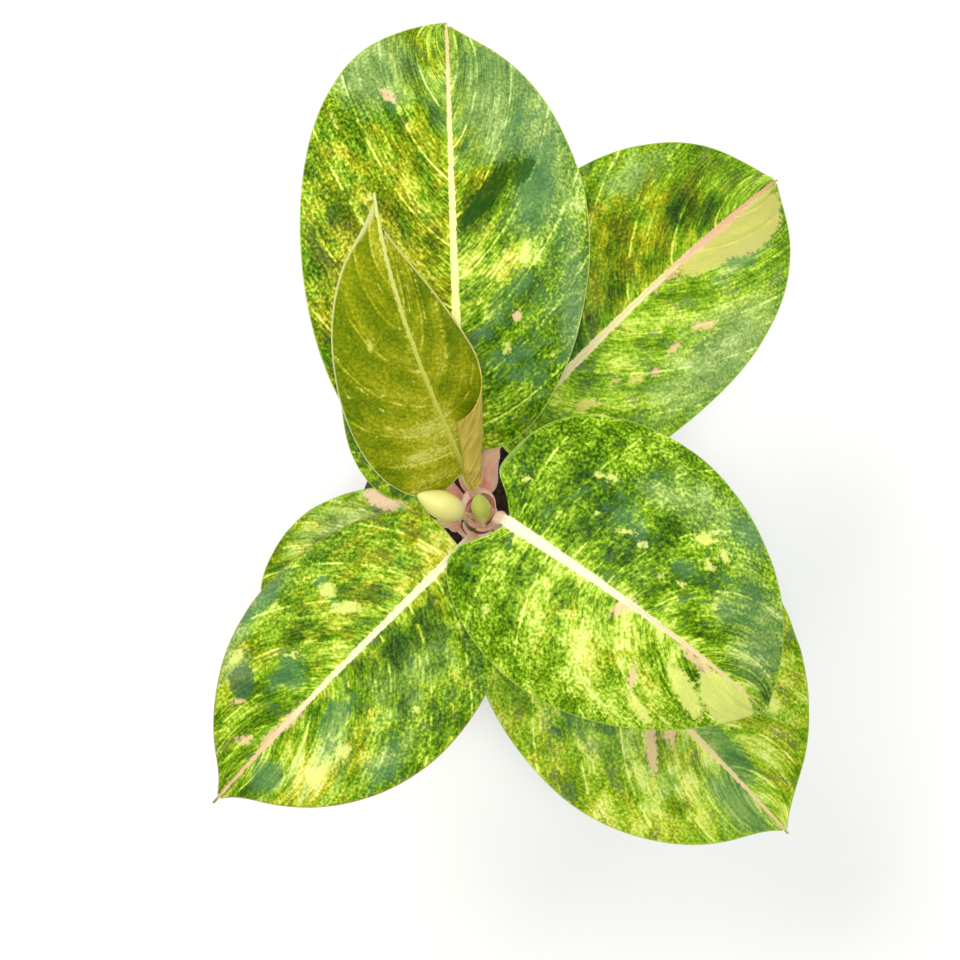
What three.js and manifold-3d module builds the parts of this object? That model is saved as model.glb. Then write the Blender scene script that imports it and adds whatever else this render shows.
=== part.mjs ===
// A potted Chinese evergreen with large apple green leaves.
// Millimetres, +Z up. The origin is on the pot's axis, at the middle of its base.
// The leaves are named by the side they point to, seen from above with +Y as north.
import * as THREE from 'three';
import { mergeVertices } from 'three/addons/utils/BufferGeometryUtils.js';
import Module from 'manifold-3d';

const wasm = await Module();
wasm.setup();

const DEG = Math.PI / 180;
// Air left between pieces that touch
const CLEARANCE = 0.3;

// Pot: a tapered nursery pot with a rim band, a foot ring and a middle pad
const POT_HEIGHT = 125;
const POT_BASE_RADIUS = 50;
const POT_RIM_RADIUS = 70;
const POT_WALL = 2;
const RIM_BAND_HEIGHT = 17;
const RIM_STEP = 2.5;
const FLOOR_TOP = 6;
const FLOOR_RECESS = 3;
const FOOT_RING_WIDTH = 6;
const PAD_RADIUS = 16;
const DRAIN_HOLES = 6;
const DRAIN_HOLE_RADIUS = 4;
const DRAIN_CIRCLE_RADIUS = 30;
const ROUND_SECTORS = 40;

// Soil: loose potting mix, level with the foot of the rim band
const SOIL_TOP = 112;
const SOIL_ROUGHNESS = 1.2;
const STEM_HOLE_DEPTH = 40;
const SOIL_TOP_RADII = [17, 25, 34, 43, 52, 60];

// Stem: a short cane that narrows to the crown
const STEM_HEIGHT = 85;
const STEM_FOOT_RADIUS = 11;
const STEM_CROWN_RADIUS = 7;
const STEM_SECTORS = 20;

// Leaf parts that are alike on every leaf
const BLADE_THICKNESS = 1.0;
const MARGIN_THICKNESS = 0.7;
const MIDRIB_GROOVE = 0.3;
const STALK_RADIUS = 2.4;
const MIDRIB_TIP_RADIUS = 0.5;
const SHEATH_HEIGHT = 8.5;
const SHEATH_REACH = 60;
const SHEATH_THICKNESS = 2.4;
const SHEATH_EDGE = 0.8;
const STALK_LEAN = 12;

// Blade outline and cross section, unless a leaf says otherwise.
// widest: place of the widest part, as a share of the length. cusp: the drip tip. fold: the rise of
// each half from the midrib. veer: how far the midrib has turned to the side at the tip. wave: how
// far the margin lifts and sinks. bend: above 1, the midrib bends more towards its tip. Pairs are
// for the left and the right half. lobe: how far the base reaches back. sinus: how wide the notch
// between the lobes is. baseRound and tipRound: below 1 is blunter, above 1 is more pointed.
// breadth: the half against half the width. curl: how far the half bends down again. columns and
// rows: how finely the blade is divided. handles: how far the stalk runs straight up at its foot, as
// a share of its reach, and straight on into the midrib, in millimetres.
const LEAF_SHAPE = {
  widest: 0.46,
  cusp: 8,
  lobe: [7, 7],
  sinus: [0.3, 0.3],
  baseRound: [0.9, 0.9],
  tipRound: [1.2, 1.2],
  breadth: [1, 1],
  fold: 8,
  curl: [25, 25],
  bend: 1.3,
  veer: 0,
  roll: 0,
  wave: 1.5,
  wavePhase: 0,
  handles: [0.4, 12],
  columns: [5, 5],
  rows: 16,
};

// sheath: height of the sheath's foot above the soil. side: the side of the stem that it holds.
// junction: where the stalk meets the blade. heading: the way the midrib points, in degrees from +X.
// rise and dip: the midrib's slope at the junction and at the tip. roll: tilt about the midrib.
const LEAVES = {
  leaf_north: {
    sheath: 67, side: 120, junction: [-9, 17, 275], heading: 92, rise: 36, dip: -28, roll: 8,
    length: 207, width: 142, widest: 0.49, breadth: [0.98, 0.9],
    baseRound: [0.8, 1.05], tipRound: [0.85, 1.3], curl: [20, 20], handles: [0.4, 7],
    wavePhase: 40,
  },
  leaf_northeast: {
    sheath: 49, side: 70, junction: [9, 24, 258], heading: 44, rise: 24, dip: -34, roll: 8,
    length: 195, width: 130, widest: 0.5, breadth: [1.08, 0.92], lobe: [7, 14],
    baseRound: [0.9, 0.75], wavePhase: 160,
  },
  leaf_southeast: {
    sheath: 76, side: 315, junction: [12, -19, 290], heading: -35, rise: 12, dip: -60, roll: 8,
    length: 162, width: 142, widest: 0.31, breadth: [1.08, 0.86], lobe: [17, 23], sinus: [0.1, 0.3],
    baseRound: [0.58, 0.9], tipRound: [1.8, 2.1], curl: [35, 35], bend: 1.6, handles: [0.4, 7],
    wavePhase: 250,
  },
  leaf_south: {
    sheath: 31, side: 290, junction: [16, -29, 240], heading: -44, rise: 0, dip: -32,
    length: 190, width: 140, widest: 0.48, breadth: [1.2, 0.97],
    tipRound: [1.3, 1.4], wavePhase: 90,
  },
  leaf_southwest: {
    sheath: 58, side: 252, junction: [-9, -28, 262], heading: 225, rise: 5, dip: -30,
    length: 162, width: 124, widest: 0.45, breadth: [1, 0.86], tipRound: [1.5, 1.5],
    curl: [20, 20], wavePhase: 300,
  },
  leaf_west: {
    sheath: 40, side: 204, junction: [-23, -12, 225], heading: 208, rise: 10, dip: -35,
    length: 99, width: 74, wavePhase: 20,
  },
  leaf_northwest: {
    sheath: 22, side: 128, junction: [-19, 17, 232], heading: 100, rise: 20, dip: -30,
    length: 108, width: 90, widest: 0.24, breadth: [1, 0.75], lobe: [16, 3],
    baseRound: [0.75, 1.3], wavePhase: 200,
  },
  leaf_young: {
    apex: true, side: 120, junction: [-7, 6.5, 277], heading: 120, rise: 62, dip: 40, veer: -23,
    length: 148, width: 86, widest: 0.36, breadth: [0.92, 0.66], lobe: [12, 20], cusp: 12,
    baseRound: [0.95, 0.6], tipRound: [1.3, 2.4], fold: 4, curl: [5, -70], bend: 1.2, wave: 0.8,
    rolled: { radius: [4.4, 6.6], flat: [2.5, 28], open: 0.6 },
    handles: [0.4, 14], columns: [5, 10], rows: 22,
  },
};

// Buds: each stands on the stem's top and follows a route of a few points.
// swellAt: where along the route the bud begins.
const STALK_OF_BUD = 1.4;
const BUDS = {
  bud_west: {
    seat: [-3.2, -4.1], radius: 6.8, swellAt: 0.75,
    route: [[-6, -9, 240], [-8, -13.5, 267], [-14, -12, 281], [-29, -6.5, 289]],
  },
  bud_south: {
    seat: [1.3, -5], radius: 4.7, swellAt: 0.7,
    route: [[1.5, -9, 220], [1.5, -13, 236], [1, -10, 251], [-0.8, -2.5, 266]],
  },
};

const LEAF_COLOURS = {
  leaf_north: '#7fa52e',
  leaf_northeast: '#8cb336',
  leaf_southeast: '#93bb38',
  leaf_south: '#8fae36',
  leaf_southwest: '#8db33a',
  leaf_west: '#a4b54c',
  leaf_northwest: '#7d9c3c',
  leaf_young: '#a5ab2c',
};

const smooth = (from, to, value) => THREE.MathUtils.smoothstep(value, from, to);
const mix = THREE.MathUtils.lerp;

// Names a mesh and gives it its material.
function piece(name, geometry, colour, roughness) {
  const material = new THREE.MeshStandardMaterial({ color: colour, roughness, metalness: 0 });
  const mesh = new THREE.Mesh(geometry, material);
  mesh.name = name;
  return mesh;
}

// Joins rings of points into one closed solid. Points that fall together are merged, and each end
// is closed on the middle of its ring. crossed(j) turns the diagonals of column j the other way.
function closedSolid(rings, crossed = () => false) {
  const positions = [];
  const known = new Map();
  const indexOf = (point) => {
    const key = point.toArray().map((value) => Math.round(value * 1000)).join();
    if (!known.has(key)) {
      known.set(key, positions.length / 3);
      positions.push(...point.toArray());
    }
    return known.get(key);
  };
  const index = [];
  const addTriangle = (a, b, c) => {
    if (a !== b && b !== c && c !== a) index.push(a, b, c);
  };
  const numbered = rings.map((ring) => ring.map(indexOf));
  const count = rings[0].length;
  for (let i = 0; i + 1 < rings.length; i += 1) {
    for (let j = 0; j < count; j += 1) {
      const next = (j + 1) % count;
      const [a, b] = [numbered[i][j], numbered[i][next]];
      const [d, c] = [numbered[i + 1][j], numbered[i + 1][next]];
      if (crossed(j)) {
        addTriangle(a, b, d);
        addTriangle(b, c, d);
      } else {
        addTriangle(a, b, c);
        addTriangle(a, c, d);
      }
    }
  }
  const closeEnd = (ring, ids, reversed) => {
    if (new Set(ids).size < 3) return;
    const middle = new THREE.Vector3();
    ring.forEach((point) => middle.addScaledVector(point, 1 / ring.length));
    const hub = indexOf(middle);
    ids.forEach((id, j) => {
      const next = ids[(j + 1) % count];
      addTriangle(hub, reversed ? next : id, reversed ? id : next);
    });
  };
  closeEnd(rings[0], numbered[0], true);
  closeEnd(rings.at(-1), numbered.at(-1), false);
  const geometry = new THREE.BufferGeometry();
  geometry.setAttribute('position', new THREE.Float32BufferAttribute(positions, 3));
  geometry.setIndex(index);
  return facingOut(geometry);
}

// Turns every triangle round if the solid came out inside out.
function facingOut(geometry) {
  const position = geometry.getAttribute('position');
  const index = geometry.getIndex().array;
  const [a, b, c] = [new THREE.Vector3(), new THREE.Vector3(), new THREE.Vector3()];
  let volume = 0;
  for (let i = 0; i < index.length; i += 3) {
    a.fromBufferAttribute(position, index[i]);
    b.fromBufferAttribute(position, index[i + 1]);
    c.fromBufferAttribute(position, index[i + 2]);
    volume += a.dot(b.cross(c)) / 6;
  }
  if (volume < 0) index.reverse();
  return geometry;
}

// Between three.js geometry and a solid that can be joined and cut.
function toSolid(geometry) {
  const bare = new THREE.BufferGeometry();
  bare.setAttribute('position', geometry.getAttribute('position').clone());
  bare.setIndex(geometry.getIndex().clone());
  const merged = facingOut(mergeVertices(bare, 1e-3));
  const mesh = new wasm.Mesh({
    numProp: 3,
    vertProperties: new Float32Array(merged.getAttribute('position').array),
    triVerts: new Uint32Array(merged.getIndex().array),
  });
  return new wasm.Manifold(mesh);
}

function toGeometry(solid) {
  const { vertProperties, triVerts } = solid.getMesh();
  const geometry = new THREE.BufferGeometry();
  geometry.setAttribute('position', new THREE.Float32BufferAttribute(vertProperties, 3));
  geometry.setIndex(Array.from(triVerts));
  return geometry;
}

// Turns a profile of [radius, height] round the Z axis.
function turned(profile, sectors) {
  const points = profile.map(([radius, height]) => new THREE.Vector2(radius, height));
  return new THREE.LatheGeometry(points, sectors).rotateX(Math.PI / 2);
}

const potOuterRadius = (z) => mix(POT_BASE_RADIUS, POT_RIM_RADIUS - RIM_STEP, z / POT_HEIGHT);
const potInnerRadius = (z) => potOuterRadius(z) - POT_WALL;

function pot() {
  const bandFoot = POT_HEIGHT - RIM_BAND_HEIGHT;
  const footInner = POT_BASE_RADIUS - FOOT_RING_WIDTH;
  const shell = turned([
    [0, 0],
    [PAD_RADIUS, 0],
    [PAD_RADIUS + 1, FLOOR_RECESS],
    [footInner - 1, FLOOR_RECESS],
    [footInner, 0],
    [POT_BASE_RADIUS - 1, 0],
    [POT_BASE_RADIUS, 1],
    [potOuterRadius(bandFoot), bandFoot],
    [POT_RIM_RADIUS - 0.8, bandFoot + 1],
    [POT_RIM_RADIUS, POT_HEIGHT - 1],
    [POT_RIM_RADIUS - 1, POT_HEIGHT],
    [potInnerRadius(POT_HEIGHT) + 0.8, POT_HEIGHT],
    [potInnerRadius(POT_HEIGHT), POT_HEIGHT - 1],
    [potInnerRadius(FLOOR_TOP), FLOOR_TOP],
    [0, FLOOR_TOP],
  ], ROUND_SECTORS);
  let solid = toSolid(shell);
  for (let i = 0; i < DRAIN_HOLES; i += 1) {
    const angle = (i + 0.5) * (2 * Math.PI / DRAIN_HOLES);
    const drill = new THREE.CylinderGeometry(DRAIN_HOLE_RADIUS, DRAIN_HOLE_RADIUS, 4 * FLOOR_TOP, 12);
    drill.rotateX(Math.PI / 2);
    drill.translate(DRAIN_CIRCLE_RADIUS * Math.cos(angle), DRAIN_CIRCLE_RADIUS * Math.sin(angle), 0);
    solid = solid.subtract(toSolid(drill));
  }
  return piece('pot', toGeometry(solid), '#2b2b2d', 0.6);
}

const stemRadius = (height) => mix(STEM_FOOT_RADIUS, STEM_CROWN_RADIUS, Math.max(height, 0) / STEM_HEIGHT);

// The soil's surface, bumpy but level on the whole.
function soilHeight(x, y) {
  const broad = Math.sin(x / 7 + 1) * Math.cos(y / 6);
  const fine = Math.sin(x / 3.1 + y / 4.3) * 0.5;
  return SOIL_TOP + SOIL_ROUGHNESS * (broad + fine);
}

function soil() {
  const holeRadius = STEM_FOOT_RADIUS + CLEARANCE;
  const holeFloor = SOIL_TOP - STEM_HOLE_DEPTH;
  const bottom = FLOOR_TOP + CLEARANCE;
  const ring = (radius, height) => Array.from({ length: ROUND_SECTORS }, (_, j) => {
    const angle = (j / ROUND_SECTORS) * 2 * Math.PI;
    const [x, y] = [radius * Math.cos(angle), radius * Math.sin(angle)];
    return new THREE.Vector3(x, y, typeof height === 'function' ? height(x, y) : height);
  });
  const rings = [
    ring(holeRadius, holeFloor),
    ring(holeRadius, SOIL_TOP),
    ...SOIL_TOP_RADII.map((radius) => ring(radius, soilHeight)),
    ring(potInnerRadius(SOIL_TOP) - CLEARANCE, SOIL_TOP - 1),
    ring(potInnerRadius(bottom) - CLEARANCE, bottom),
  ];
  return piece('soil', closedSolid(rings), '#3a2b20', 0.95);
}

function stem() {
  const foot = SOIL_TOP - STEM_HOLE_DEPTH + CLEARANCE;
  const top = SOIL_TOP + STEM_HEIGHT;
  const geometry = turned([
    [0, foot],
    [STEM_FOOT_RADIUS - 1, foot],
    [STEM_FOOT_RADIUS, foot + 2],
    [STEM_FOOT_RADIUS, SOIL_TOP],
    [STEM_CROWN_RADIUS, top - 0.5],
    [STEM_CROWN_RADIUS - 0.5, top],
    [0, top],
  ], STEM_SECTORS);
  return piece('stem', geometry, '#8c9a4a', 0.55);
}

const direction = (heading, slope) => new THREE.Vector3(
  Math.cos(slope * DEG) * Math.cos(heading * DEG),
  Math.cos(slope * DEG) * Math.sin(heading * DEG),
  Math.sin(slope * DEG),
);

// A frame that follows the leaf: forward, left, and out of the upper face.
function leafFrame(forward, heading, roll) {
  const left = new THREE.Vector3(-Math.sin(heading * DEG), Math.cos(heading * DEG), 0);
  left.addScaledVector(forward, -left.dot(forward)).normalize().applyAxisAngle(forward, roll * DEG);
  return { forward, left, up: forward.clone().cross(left) };
}

// The midrib: places along it and their frames, for any distance from the junction.
function midribOf(leaf) {
  const steps = 60;
  const full = leaf.length + leaf.cusp;
  const slopeAt = (share) => mix(leaf.rise, leaf.dip, share ** leaf.bend);
  const headingAt = (share) => leaf.heading + leaf.veer * share ** 2;
  const places = [new THREE.Vector3(...leaf.junction)];
  for (let i = 0; i < steps; i += 1) {
    const middle = (i + 0.5) / steps;
    const forward = direction(headingAt(middle), slopeAt(middle));
    places.push(places[i].clone().addScaledVector(forward, full / steps));
  }
  return (distance) => {
    const inside = THREE.MathUtils.clamp(distance, 0, full);
    const share = inside / full;
    const step = Math.min(Math.floor(share * steps), steps - 1);
    const place = places[step].clone().lerp(places[step + 1], share * steps - step);
    const forward = direction(headingAt(share), slopeAt(share));
    place.addScaledVector(forward, distance - inside);
    return { place, share, ...leafFrame(forward, headingAt(share), leaf.roll) };
  };
}

// An arc across half the blade: out and up for a distance along it, and the slope there.
function arc(distance, slope, turn) {
  const k = Math.abs(turn) < 1e-6 ? 1e-6 : turn;
  const end = slope - k * distance;
  return {
    out: (Math.sin(slope) - Math.sin(end)) / k,
    up: (Math.cos(end) - Math.cos(slope)) / k,
    slope: end,
  };
}

// Half of the cross section. A rolled half is flat for a while and then rolls up and over. Both the
// flat part and the roll's radius grow from the leaf's foot to the place where the roll has opened.
function crossSection(leaf, share, across, side) {
  const half = leaf.width / 2;
  const fold = leaf.fold * DEG * (1 - 0.35 * share);
  const turn = (side > 0 ? leaf.curl[0] : leaf.curl[1]) * DEG / half;
  if (side > 0 || !leaf.rolled) return arc(across, fold, turn);
  const opened = Math.min(share / leaf.rolled.open, 1);
  const flat = mix(...leaf.rolled.flat, opened);
  const radius = mix(...leaf.rolled.radius, opened);
  const first = arc(Math.min(across, flat), fold, turn);
  const second = arc(Math.max(across - flat, 0), first.slope, -1 / radius);
  return { out: first.out + second.out, up: first.up + second.up, slope: second.slope };
}

// A point of the blade's middle surface, with the way out of its upper face.
function bladePoint(leaf, midribAt, along, across, side) {
  const { place, share, left, up } = midribAt(along);
  const section = crossSection(leaf, share, across, side);
  const lift = leaf.wave * (across / (leaf.width / 2)) ** 2;
  const wave = lift * Math.sin(4 * Math.PI * share + leaf.wavePhase * DEG + (side > 0 ? 0 : 1.3));
  const point = place.addScaledVector(left, side * section.out).addScaledVector(up, section.up + wave);
  const normal = up.multiplyScalar(Math.cos(section.slope));
  normal.addScaledVector(left, -side * Math.sin(section.slope));
  return { point, normal };
}

// The flat outline of one half: turn runs from 0 at the junction to pi at the drip tip.
function marginAt(leaf, turn, side) {
  const one = side > 0 ? 0 : 1;
  const half = (leaf.width / 2) * leaf.breadth[one];
  const middle = leaf.widest * leaf.length;
  const atBase = turn < Math.PI / 2;
  const reach = atBase ? middle + leaf.lobe[one] : leaf.length - middle;
  const round = (atBase ? leaf.baseRound : leaf.tipRound)[one];
  const sinus = atBase ? leaf.lobe[one] * Math.exp(-((turn / leaf.sinus[one]) ** 2)) : 0;
  const cusp = leaf.cusp * Math.max(0, (turn / Math.PI - 0.86) / 0.14) ** 2.2;
  return {
    along: middle - reach * Math.cos(turn) + sinus + cusp,
    across: half * Math.sin(turn) ** round,
  };
}

const midribRadius = (leaf, share) => mix(STALK_RADIUS, MIDRIB_TIP_RADIUS, share ** 0.8);

// The places across a row: the share of the way from midrib to margin, and the angle round the
// midrib for the columns that lie on it. Rows of the stalk and of the blade have the same columns.
const MIDRIB_COLUMNS = 4;
function columnsOf(leaf) {
  const [leftCount, rightCount] = leaf.columns;
  const list = [];
  for (let i = leftCount; i > 0; i -= 1) list.push({ side: 1, share: i / leftCount, angle: 90 });
  for (let i = 0; i <= MIDRIB_COLUMNS; i += 1) {
    const angle = 90 - (180 * i) / MIDRIB_COLUMNS;
    list.push({ side: angle < 0 ? -1 : 1, share: 0, angle: Math.abs(angle) });
  }
  for (let i = 1; i <= rightCount; i += 1) list.push({ side: -1, share: i / rightCount, angle: 90 });
  return list;
}

// One row of the blade. It follows the side veins, from the midrib out to the margin.
function bladeRow(leaf, midribAt, columns, turnShare) {
  const full = leaf.length + leaf.cusp;
  const start = full * turnShare ** 1.8;
  if (turnShare === 1) {
    return columns.concat(columns).map(() => midribAt(full).place);
  }
  const radius = midribRadius(leaf, start / full);
  const pointOf = (column, face) => {
    const { side, share, angle } = column;
    const margin = marginAt(leaf, turnShare * Math.PI, side);
    const reach = Math.max(margin.across - radius, 0);
    const along = start + (margin.along - start) * (0.55 * share + 0.45 * share ** 2) * Math.min(reach, 1);
    const across = radius * Math.sin(angle * DEG) + reach * share;
    const { point, normal } = bladePoint(leaf, midribAt, along, across, side);
    const onMidrib = share > 0 ? 0 : Math.cos(angle * DEG);
    const half = mix(BLADE_THICKNESS, MARGIN_THICKNESS, share) / 2;
    const keel = Math.max(radius - half, 0.2);
    const lift = face > 0 ? half - MIDRIB_GROOVE * onMidrib : -half - keel * onMidrib;
    return point.addScaledVector(normal, lift);
  };
  return [
    ...columns.map((column) => pointOf(column, 1)),
    ...columns.map((column) => pointOf(column, -1)).reverse(),
  ];
}

// The stalk's middle line, from inside its sheath to the blade.
function stalkLine(leaf) {
  const junction = new THREE.Vector3(...leaf.junction);
  const start = leaf.apex
    ? new THREE.Vector3(0, 0, SOIL_TOP + STEM_HEIGHT + CLEARANCE)
    : direction(leaf.side, 0).multiplyScalar(stemRadius(leaf.sheath + 1) + CLEARANCE + 1.3)
      .setZ(SOIL_TOP + leaf.sheath + 1);
  const lean = leaf.apex ? 90 : 90 - STALK_LEAN;
  const reach = start.distanceTo(junction);
  const [first, second] = leaf.handles;
  return new THREE.CubicBezierCurve3(
    start,
    start.clone().addScaledVector(direction(leaf.side, lean), reach * first),
    junction.clone().addScaledVector(direction(leaf.heading, leaf.rise), -second),
    junction,
  );
}

// Rows of the stalk. Its section is round and flattens where it turns into the midrib.
const STALK_ROWS = 10;
function stalkRows(leaf, columns) {
  const line = stalkLine(leaf);
  const turn = THREE.MathUtils.euclideanModulo(leaf.heading - leaf.side + 180, 360) - 180;
  return Array.from({ length: STALK_ROWS }, (_, i) => {
    const share = i / STALK_ROWS;
    const flat = smooth(0.8, 1, share);
    const heading = leaf.side + turn * smooth(0.1, 0.9, share);
    const frame = leafFrame(line.getTangentAt(share), heading, leaf.roll * share);
    const foot = leaf.apex ? 3.3 : 1.2;
    const radius = mix(mix(foot, 2.8, smooth(0, 0.15, share)), STALK_RADIUS, share);
    const pointOf = ({ side, angle }, face) => {
      const round = radius * Math.cos(angle * DEG);
      const half = BLADE_THICKNESS / 2;
      const flattened = face > 0 ? half : Math.max(round, half);
      return line.getPointAt(share)
        .addScaledVector(frame.left, side * radius * Math.sin(angle * DEG))
        .addScaledVector(frame.up, face * mix(round, flattened, flat));
    };
    return [
      ...columns.map((column) => pointOf(column, 1)),
      ...columns.map((column) => pointOf(column, -1)).reverse(),
    ];
  });
}

// The sheath: the stalk's broad foot, wrapped part of the way round the stem.
const SHEATH_STEPS = 10;
function sheath(leaf) {
  const rings = Array.from({ length: SHEATH_STEPS + 1 }, (_, i) => {
    const turn = (2 * i) / SHEATH_STEPS - 1;
    const outward = direction(leaf.side + turn * SHEATH_REACH, 0);
    const bulge = Math.cos((turn * Math.PI) / 2);
    const thickness = mix(SHEATH_EDGE, SHEATH_THICKNESS, bulge ** 2);
    const height = SHEATH_HEIGHT * mix(0.7, 1.35, bulge ** 4);
    const corner = (up, out) => {
      const radius = stemRadius(leaf.sheath + up) + CLEARANCE + out;
      return outward.clone().multiplyScalar(radius).setZ(SOIL_TOP + leaf.sheath + up);
    };
    return [
      corner(0, 0),
      corner(height, 0),
      corner(height, thickness * 0.45),
      corner(height * 0.5, thickness),
      corner(0, thickness * 0.8),
    ];
  });
  return closedSolid(rings);
}

function leafPiece(name) {
  const leaf = { ...LEAF_SHAPE, ...LEAVES[name] };
  const midribAt = midribOf(leaf);
  const columns = columnsOf(leaf);
  const rows = stalkRows(leaf, columns);
  for (let i = 0; i <= leaf.rows; i += 1) {
    const turnShare = (1 - Math.cos((Math.PI * i) / leaf.rows)) / 2;
    rows.push(bladeRow(leaf, midribAt, columns, turnShare));
  }
  const geometry = closedSolid(rows, (j) => j >= columns.length);
  if (leaf.apex) return piece(name, geometry, LEAF_COLOURS[name], 0.4);
  const joined = toSolid(geometry).add(toSolid(sheath(leaf)));
  return piece(name, toGeometry(joined), LEAF_COLOURS[name], 0.4);
}

// A bud with its stalk: a round section along a curve, widest in the bud and closed at its tip.
const BUD_ROWS = 18;
const BUD_STALK_ROWS = 7;
const BUD_SIDES = 9;
function budPiece(name) {
  const { seat, radius, swellAt, route } = BUDS[name];
  const top = SOIL_TOP + STEM_HEIGHT + CLEARANCE;
  const points = [[...seat, top], [seat[0], seat[1], top + 8], ...route];
  const line = new THREE.CatmullRomCurve3(points.map((point) => new THREE.Vector3(...point)));
  const rings = Array.from({ length: BUD_ROWS + 1 }, (_, i) => {
    const share = i < BUD_STALK_ROWS
      ? (i / BUD_STALK_ROWS) * swellAt
      : mix(swellAt, 1, (i - BUD_STALK_ROWS) / (BUD_ROWS - BUD_STALK_ROWS));
    const along = Math.max(0, (share - swellAt) / (1 - swellAt));
    const swell = Math.sin(Math.PI * along ** 0.9) ** 0.6;
    const stalk = STALK_OF_BUD * (1 - smooth(0.5, 1, along));
    const wide = i === BUD_ROWS ? 0 : stalk + (radius - STALK_OF_BUD) * swell;
    const forward = i === 0 ? new THREE.Vector3(0, 0, 1) : line.getTangentAt(share);
    const frame = leafFrame(forward, 0, 0);
    return Array.from({ length: BUD_SIDES }, (_unused, j) => {
      const angle = (j / BUD_SIDES) * 2 * Math.PI;
      return line.getPointAt(share)
        .addScaledVector(frame.left, wide * Math.cos(angle))
        .addScaledVector(frame.up, wide * Math.sin(angle));
    });
  });
  return piece(name, closedSolid(rings), '#e6ee7d', 0.5);
}

const plant = new THREE.Group();
plant.name = 'potted_chinese_evergreen';
plant.add(pot(), soil(), stem());
plant.add(...Object.keys(LEAVES).map(leafPiece));
plant.add(...Object.keys(BUDS).map(budPiece));

export default plant;
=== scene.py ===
import math

import bmesh
import bpy
import numpy as np
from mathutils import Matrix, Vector


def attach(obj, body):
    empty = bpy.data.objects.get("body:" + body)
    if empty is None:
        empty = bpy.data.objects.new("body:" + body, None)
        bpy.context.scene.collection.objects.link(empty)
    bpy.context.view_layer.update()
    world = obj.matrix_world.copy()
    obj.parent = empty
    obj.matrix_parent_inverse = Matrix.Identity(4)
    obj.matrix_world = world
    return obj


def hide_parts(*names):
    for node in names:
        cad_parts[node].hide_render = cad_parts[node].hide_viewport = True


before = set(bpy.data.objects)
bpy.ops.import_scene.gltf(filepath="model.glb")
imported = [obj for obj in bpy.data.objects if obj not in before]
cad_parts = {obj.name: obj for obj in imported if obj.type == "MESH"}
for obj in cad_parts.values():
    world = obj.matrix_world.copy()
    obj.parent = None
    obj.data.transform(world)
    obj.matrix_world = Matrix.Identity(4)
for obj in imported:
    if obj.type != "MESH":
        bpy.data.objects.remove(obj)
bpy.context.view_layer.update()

MM = 0.001
DEG = math.pi / 180
scene = bpy.context.scene

# The camera looks down on the crown, as in the photograph.
IMAGE_PIXELS = 960
FOCAL_PIXELS = 1565
SENSOR_WIDTH = 36
CAMERA_TARGET = Vector((0, 0, 0.29))
CAMERA_DISTANCE = 0.72
CAMERA_ELEVATION = 80 * DEG

camera_data = bpy.data.cameras.new("camera")
camera_data.sensor_width = SENSOR_WIDTH
camera_data.lens = SENSOR_WIDTH * FOCAL_PIXELS / IMAGE_PIXELS
camera = bpy.data.objects.new("camera", camera_data)
scene.collection.objects.link(camera)
backwards = Vector((0, -math.cos(CAMERA_ELEVATION), math.sin(CAMERA_ELEVATION)))
camera.location = CAMERA_TARGET + backwards * CAMERA_DISTANCE
camera.rotation_euler = (math.pi / 2 - CAMERA_ELEVATION, 0, 0)
scene.camera = camera
scene.view_settings.view_transform = "Standard"

# Sizes shared with the solids
CLEARANCE = 0.3
POT_HEIGHT = 125
POT_BASE_RADIUS = 50
POT_RIM_RADIUS = 70
POT_WALL = 2
RIM_BAND_HEIGHT = 17
RIM_STEP = 2.5
FLOOR_TOP = 6
FLOOR_RECESS = 3
FOOT_RING_WIDTH = 6
PAD_RADIUS = 16
DRAIN_HOLES = 6
DRAIN_HOLE_RADIUS = 4
DRAIN_CIRCLE_RADIUS = 30
SOIL_TOP = 112
SOIL_ROUGHNESS = 1.2
STEM_HEIGHT = 85
STEM_FOOT_RADIUS = 11
STEM_CROWN_RADIUS = 7
STALK_RADIUS = 2.4
MIDRIB_TIP_RADIUS = 0.5
SHEATH_REACH = 60
SHEATH_THICKNESS = 2.4
SHEATH_EDGE = 0.8
STALK_LEAN = 12

# A real blade is thinner than its solid.
BLADE_THICKNESS = 0.7
MARGIN_THICKNESS = 0.45

# The rise of each half from the midrib fades by this share towards the tip.
FOLD_FADE = 0.35
# Where the drip tip begins, as a share of the way round the outline, and how fast it narrows
CUSP_START = 0.86
CUSP_POWER = 2.2
# The midrib narrows towards its tip. Its upper face is a low band with a fine groove.
MIDRIB_TAPER = 0.8
MIDRIB_BAND_HEIGHT = 0.3
MIDRIB_GROOVE_DEPTH = 0.4
MIDRIB_GROOVE_WIDTH = 0.3
# Fine relief, in millimetres: two ripples along the margin, and the groove at each side vein
RIPPLE_HEIGHTS = (0.5, 0.25)
RIPPLE_TURNS = (2.7, 6.1)
VEIN_GROOVE_DEPTH = 0.35
VEIN_GROOVE_WIDTH = 1.5
# How far a rolled edge turns, in radians, and how much broader the half is where the roll hides it
ROLL_TURN = 5.1
ROLL_EXTRA_BREADTH = 0.36

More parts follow.
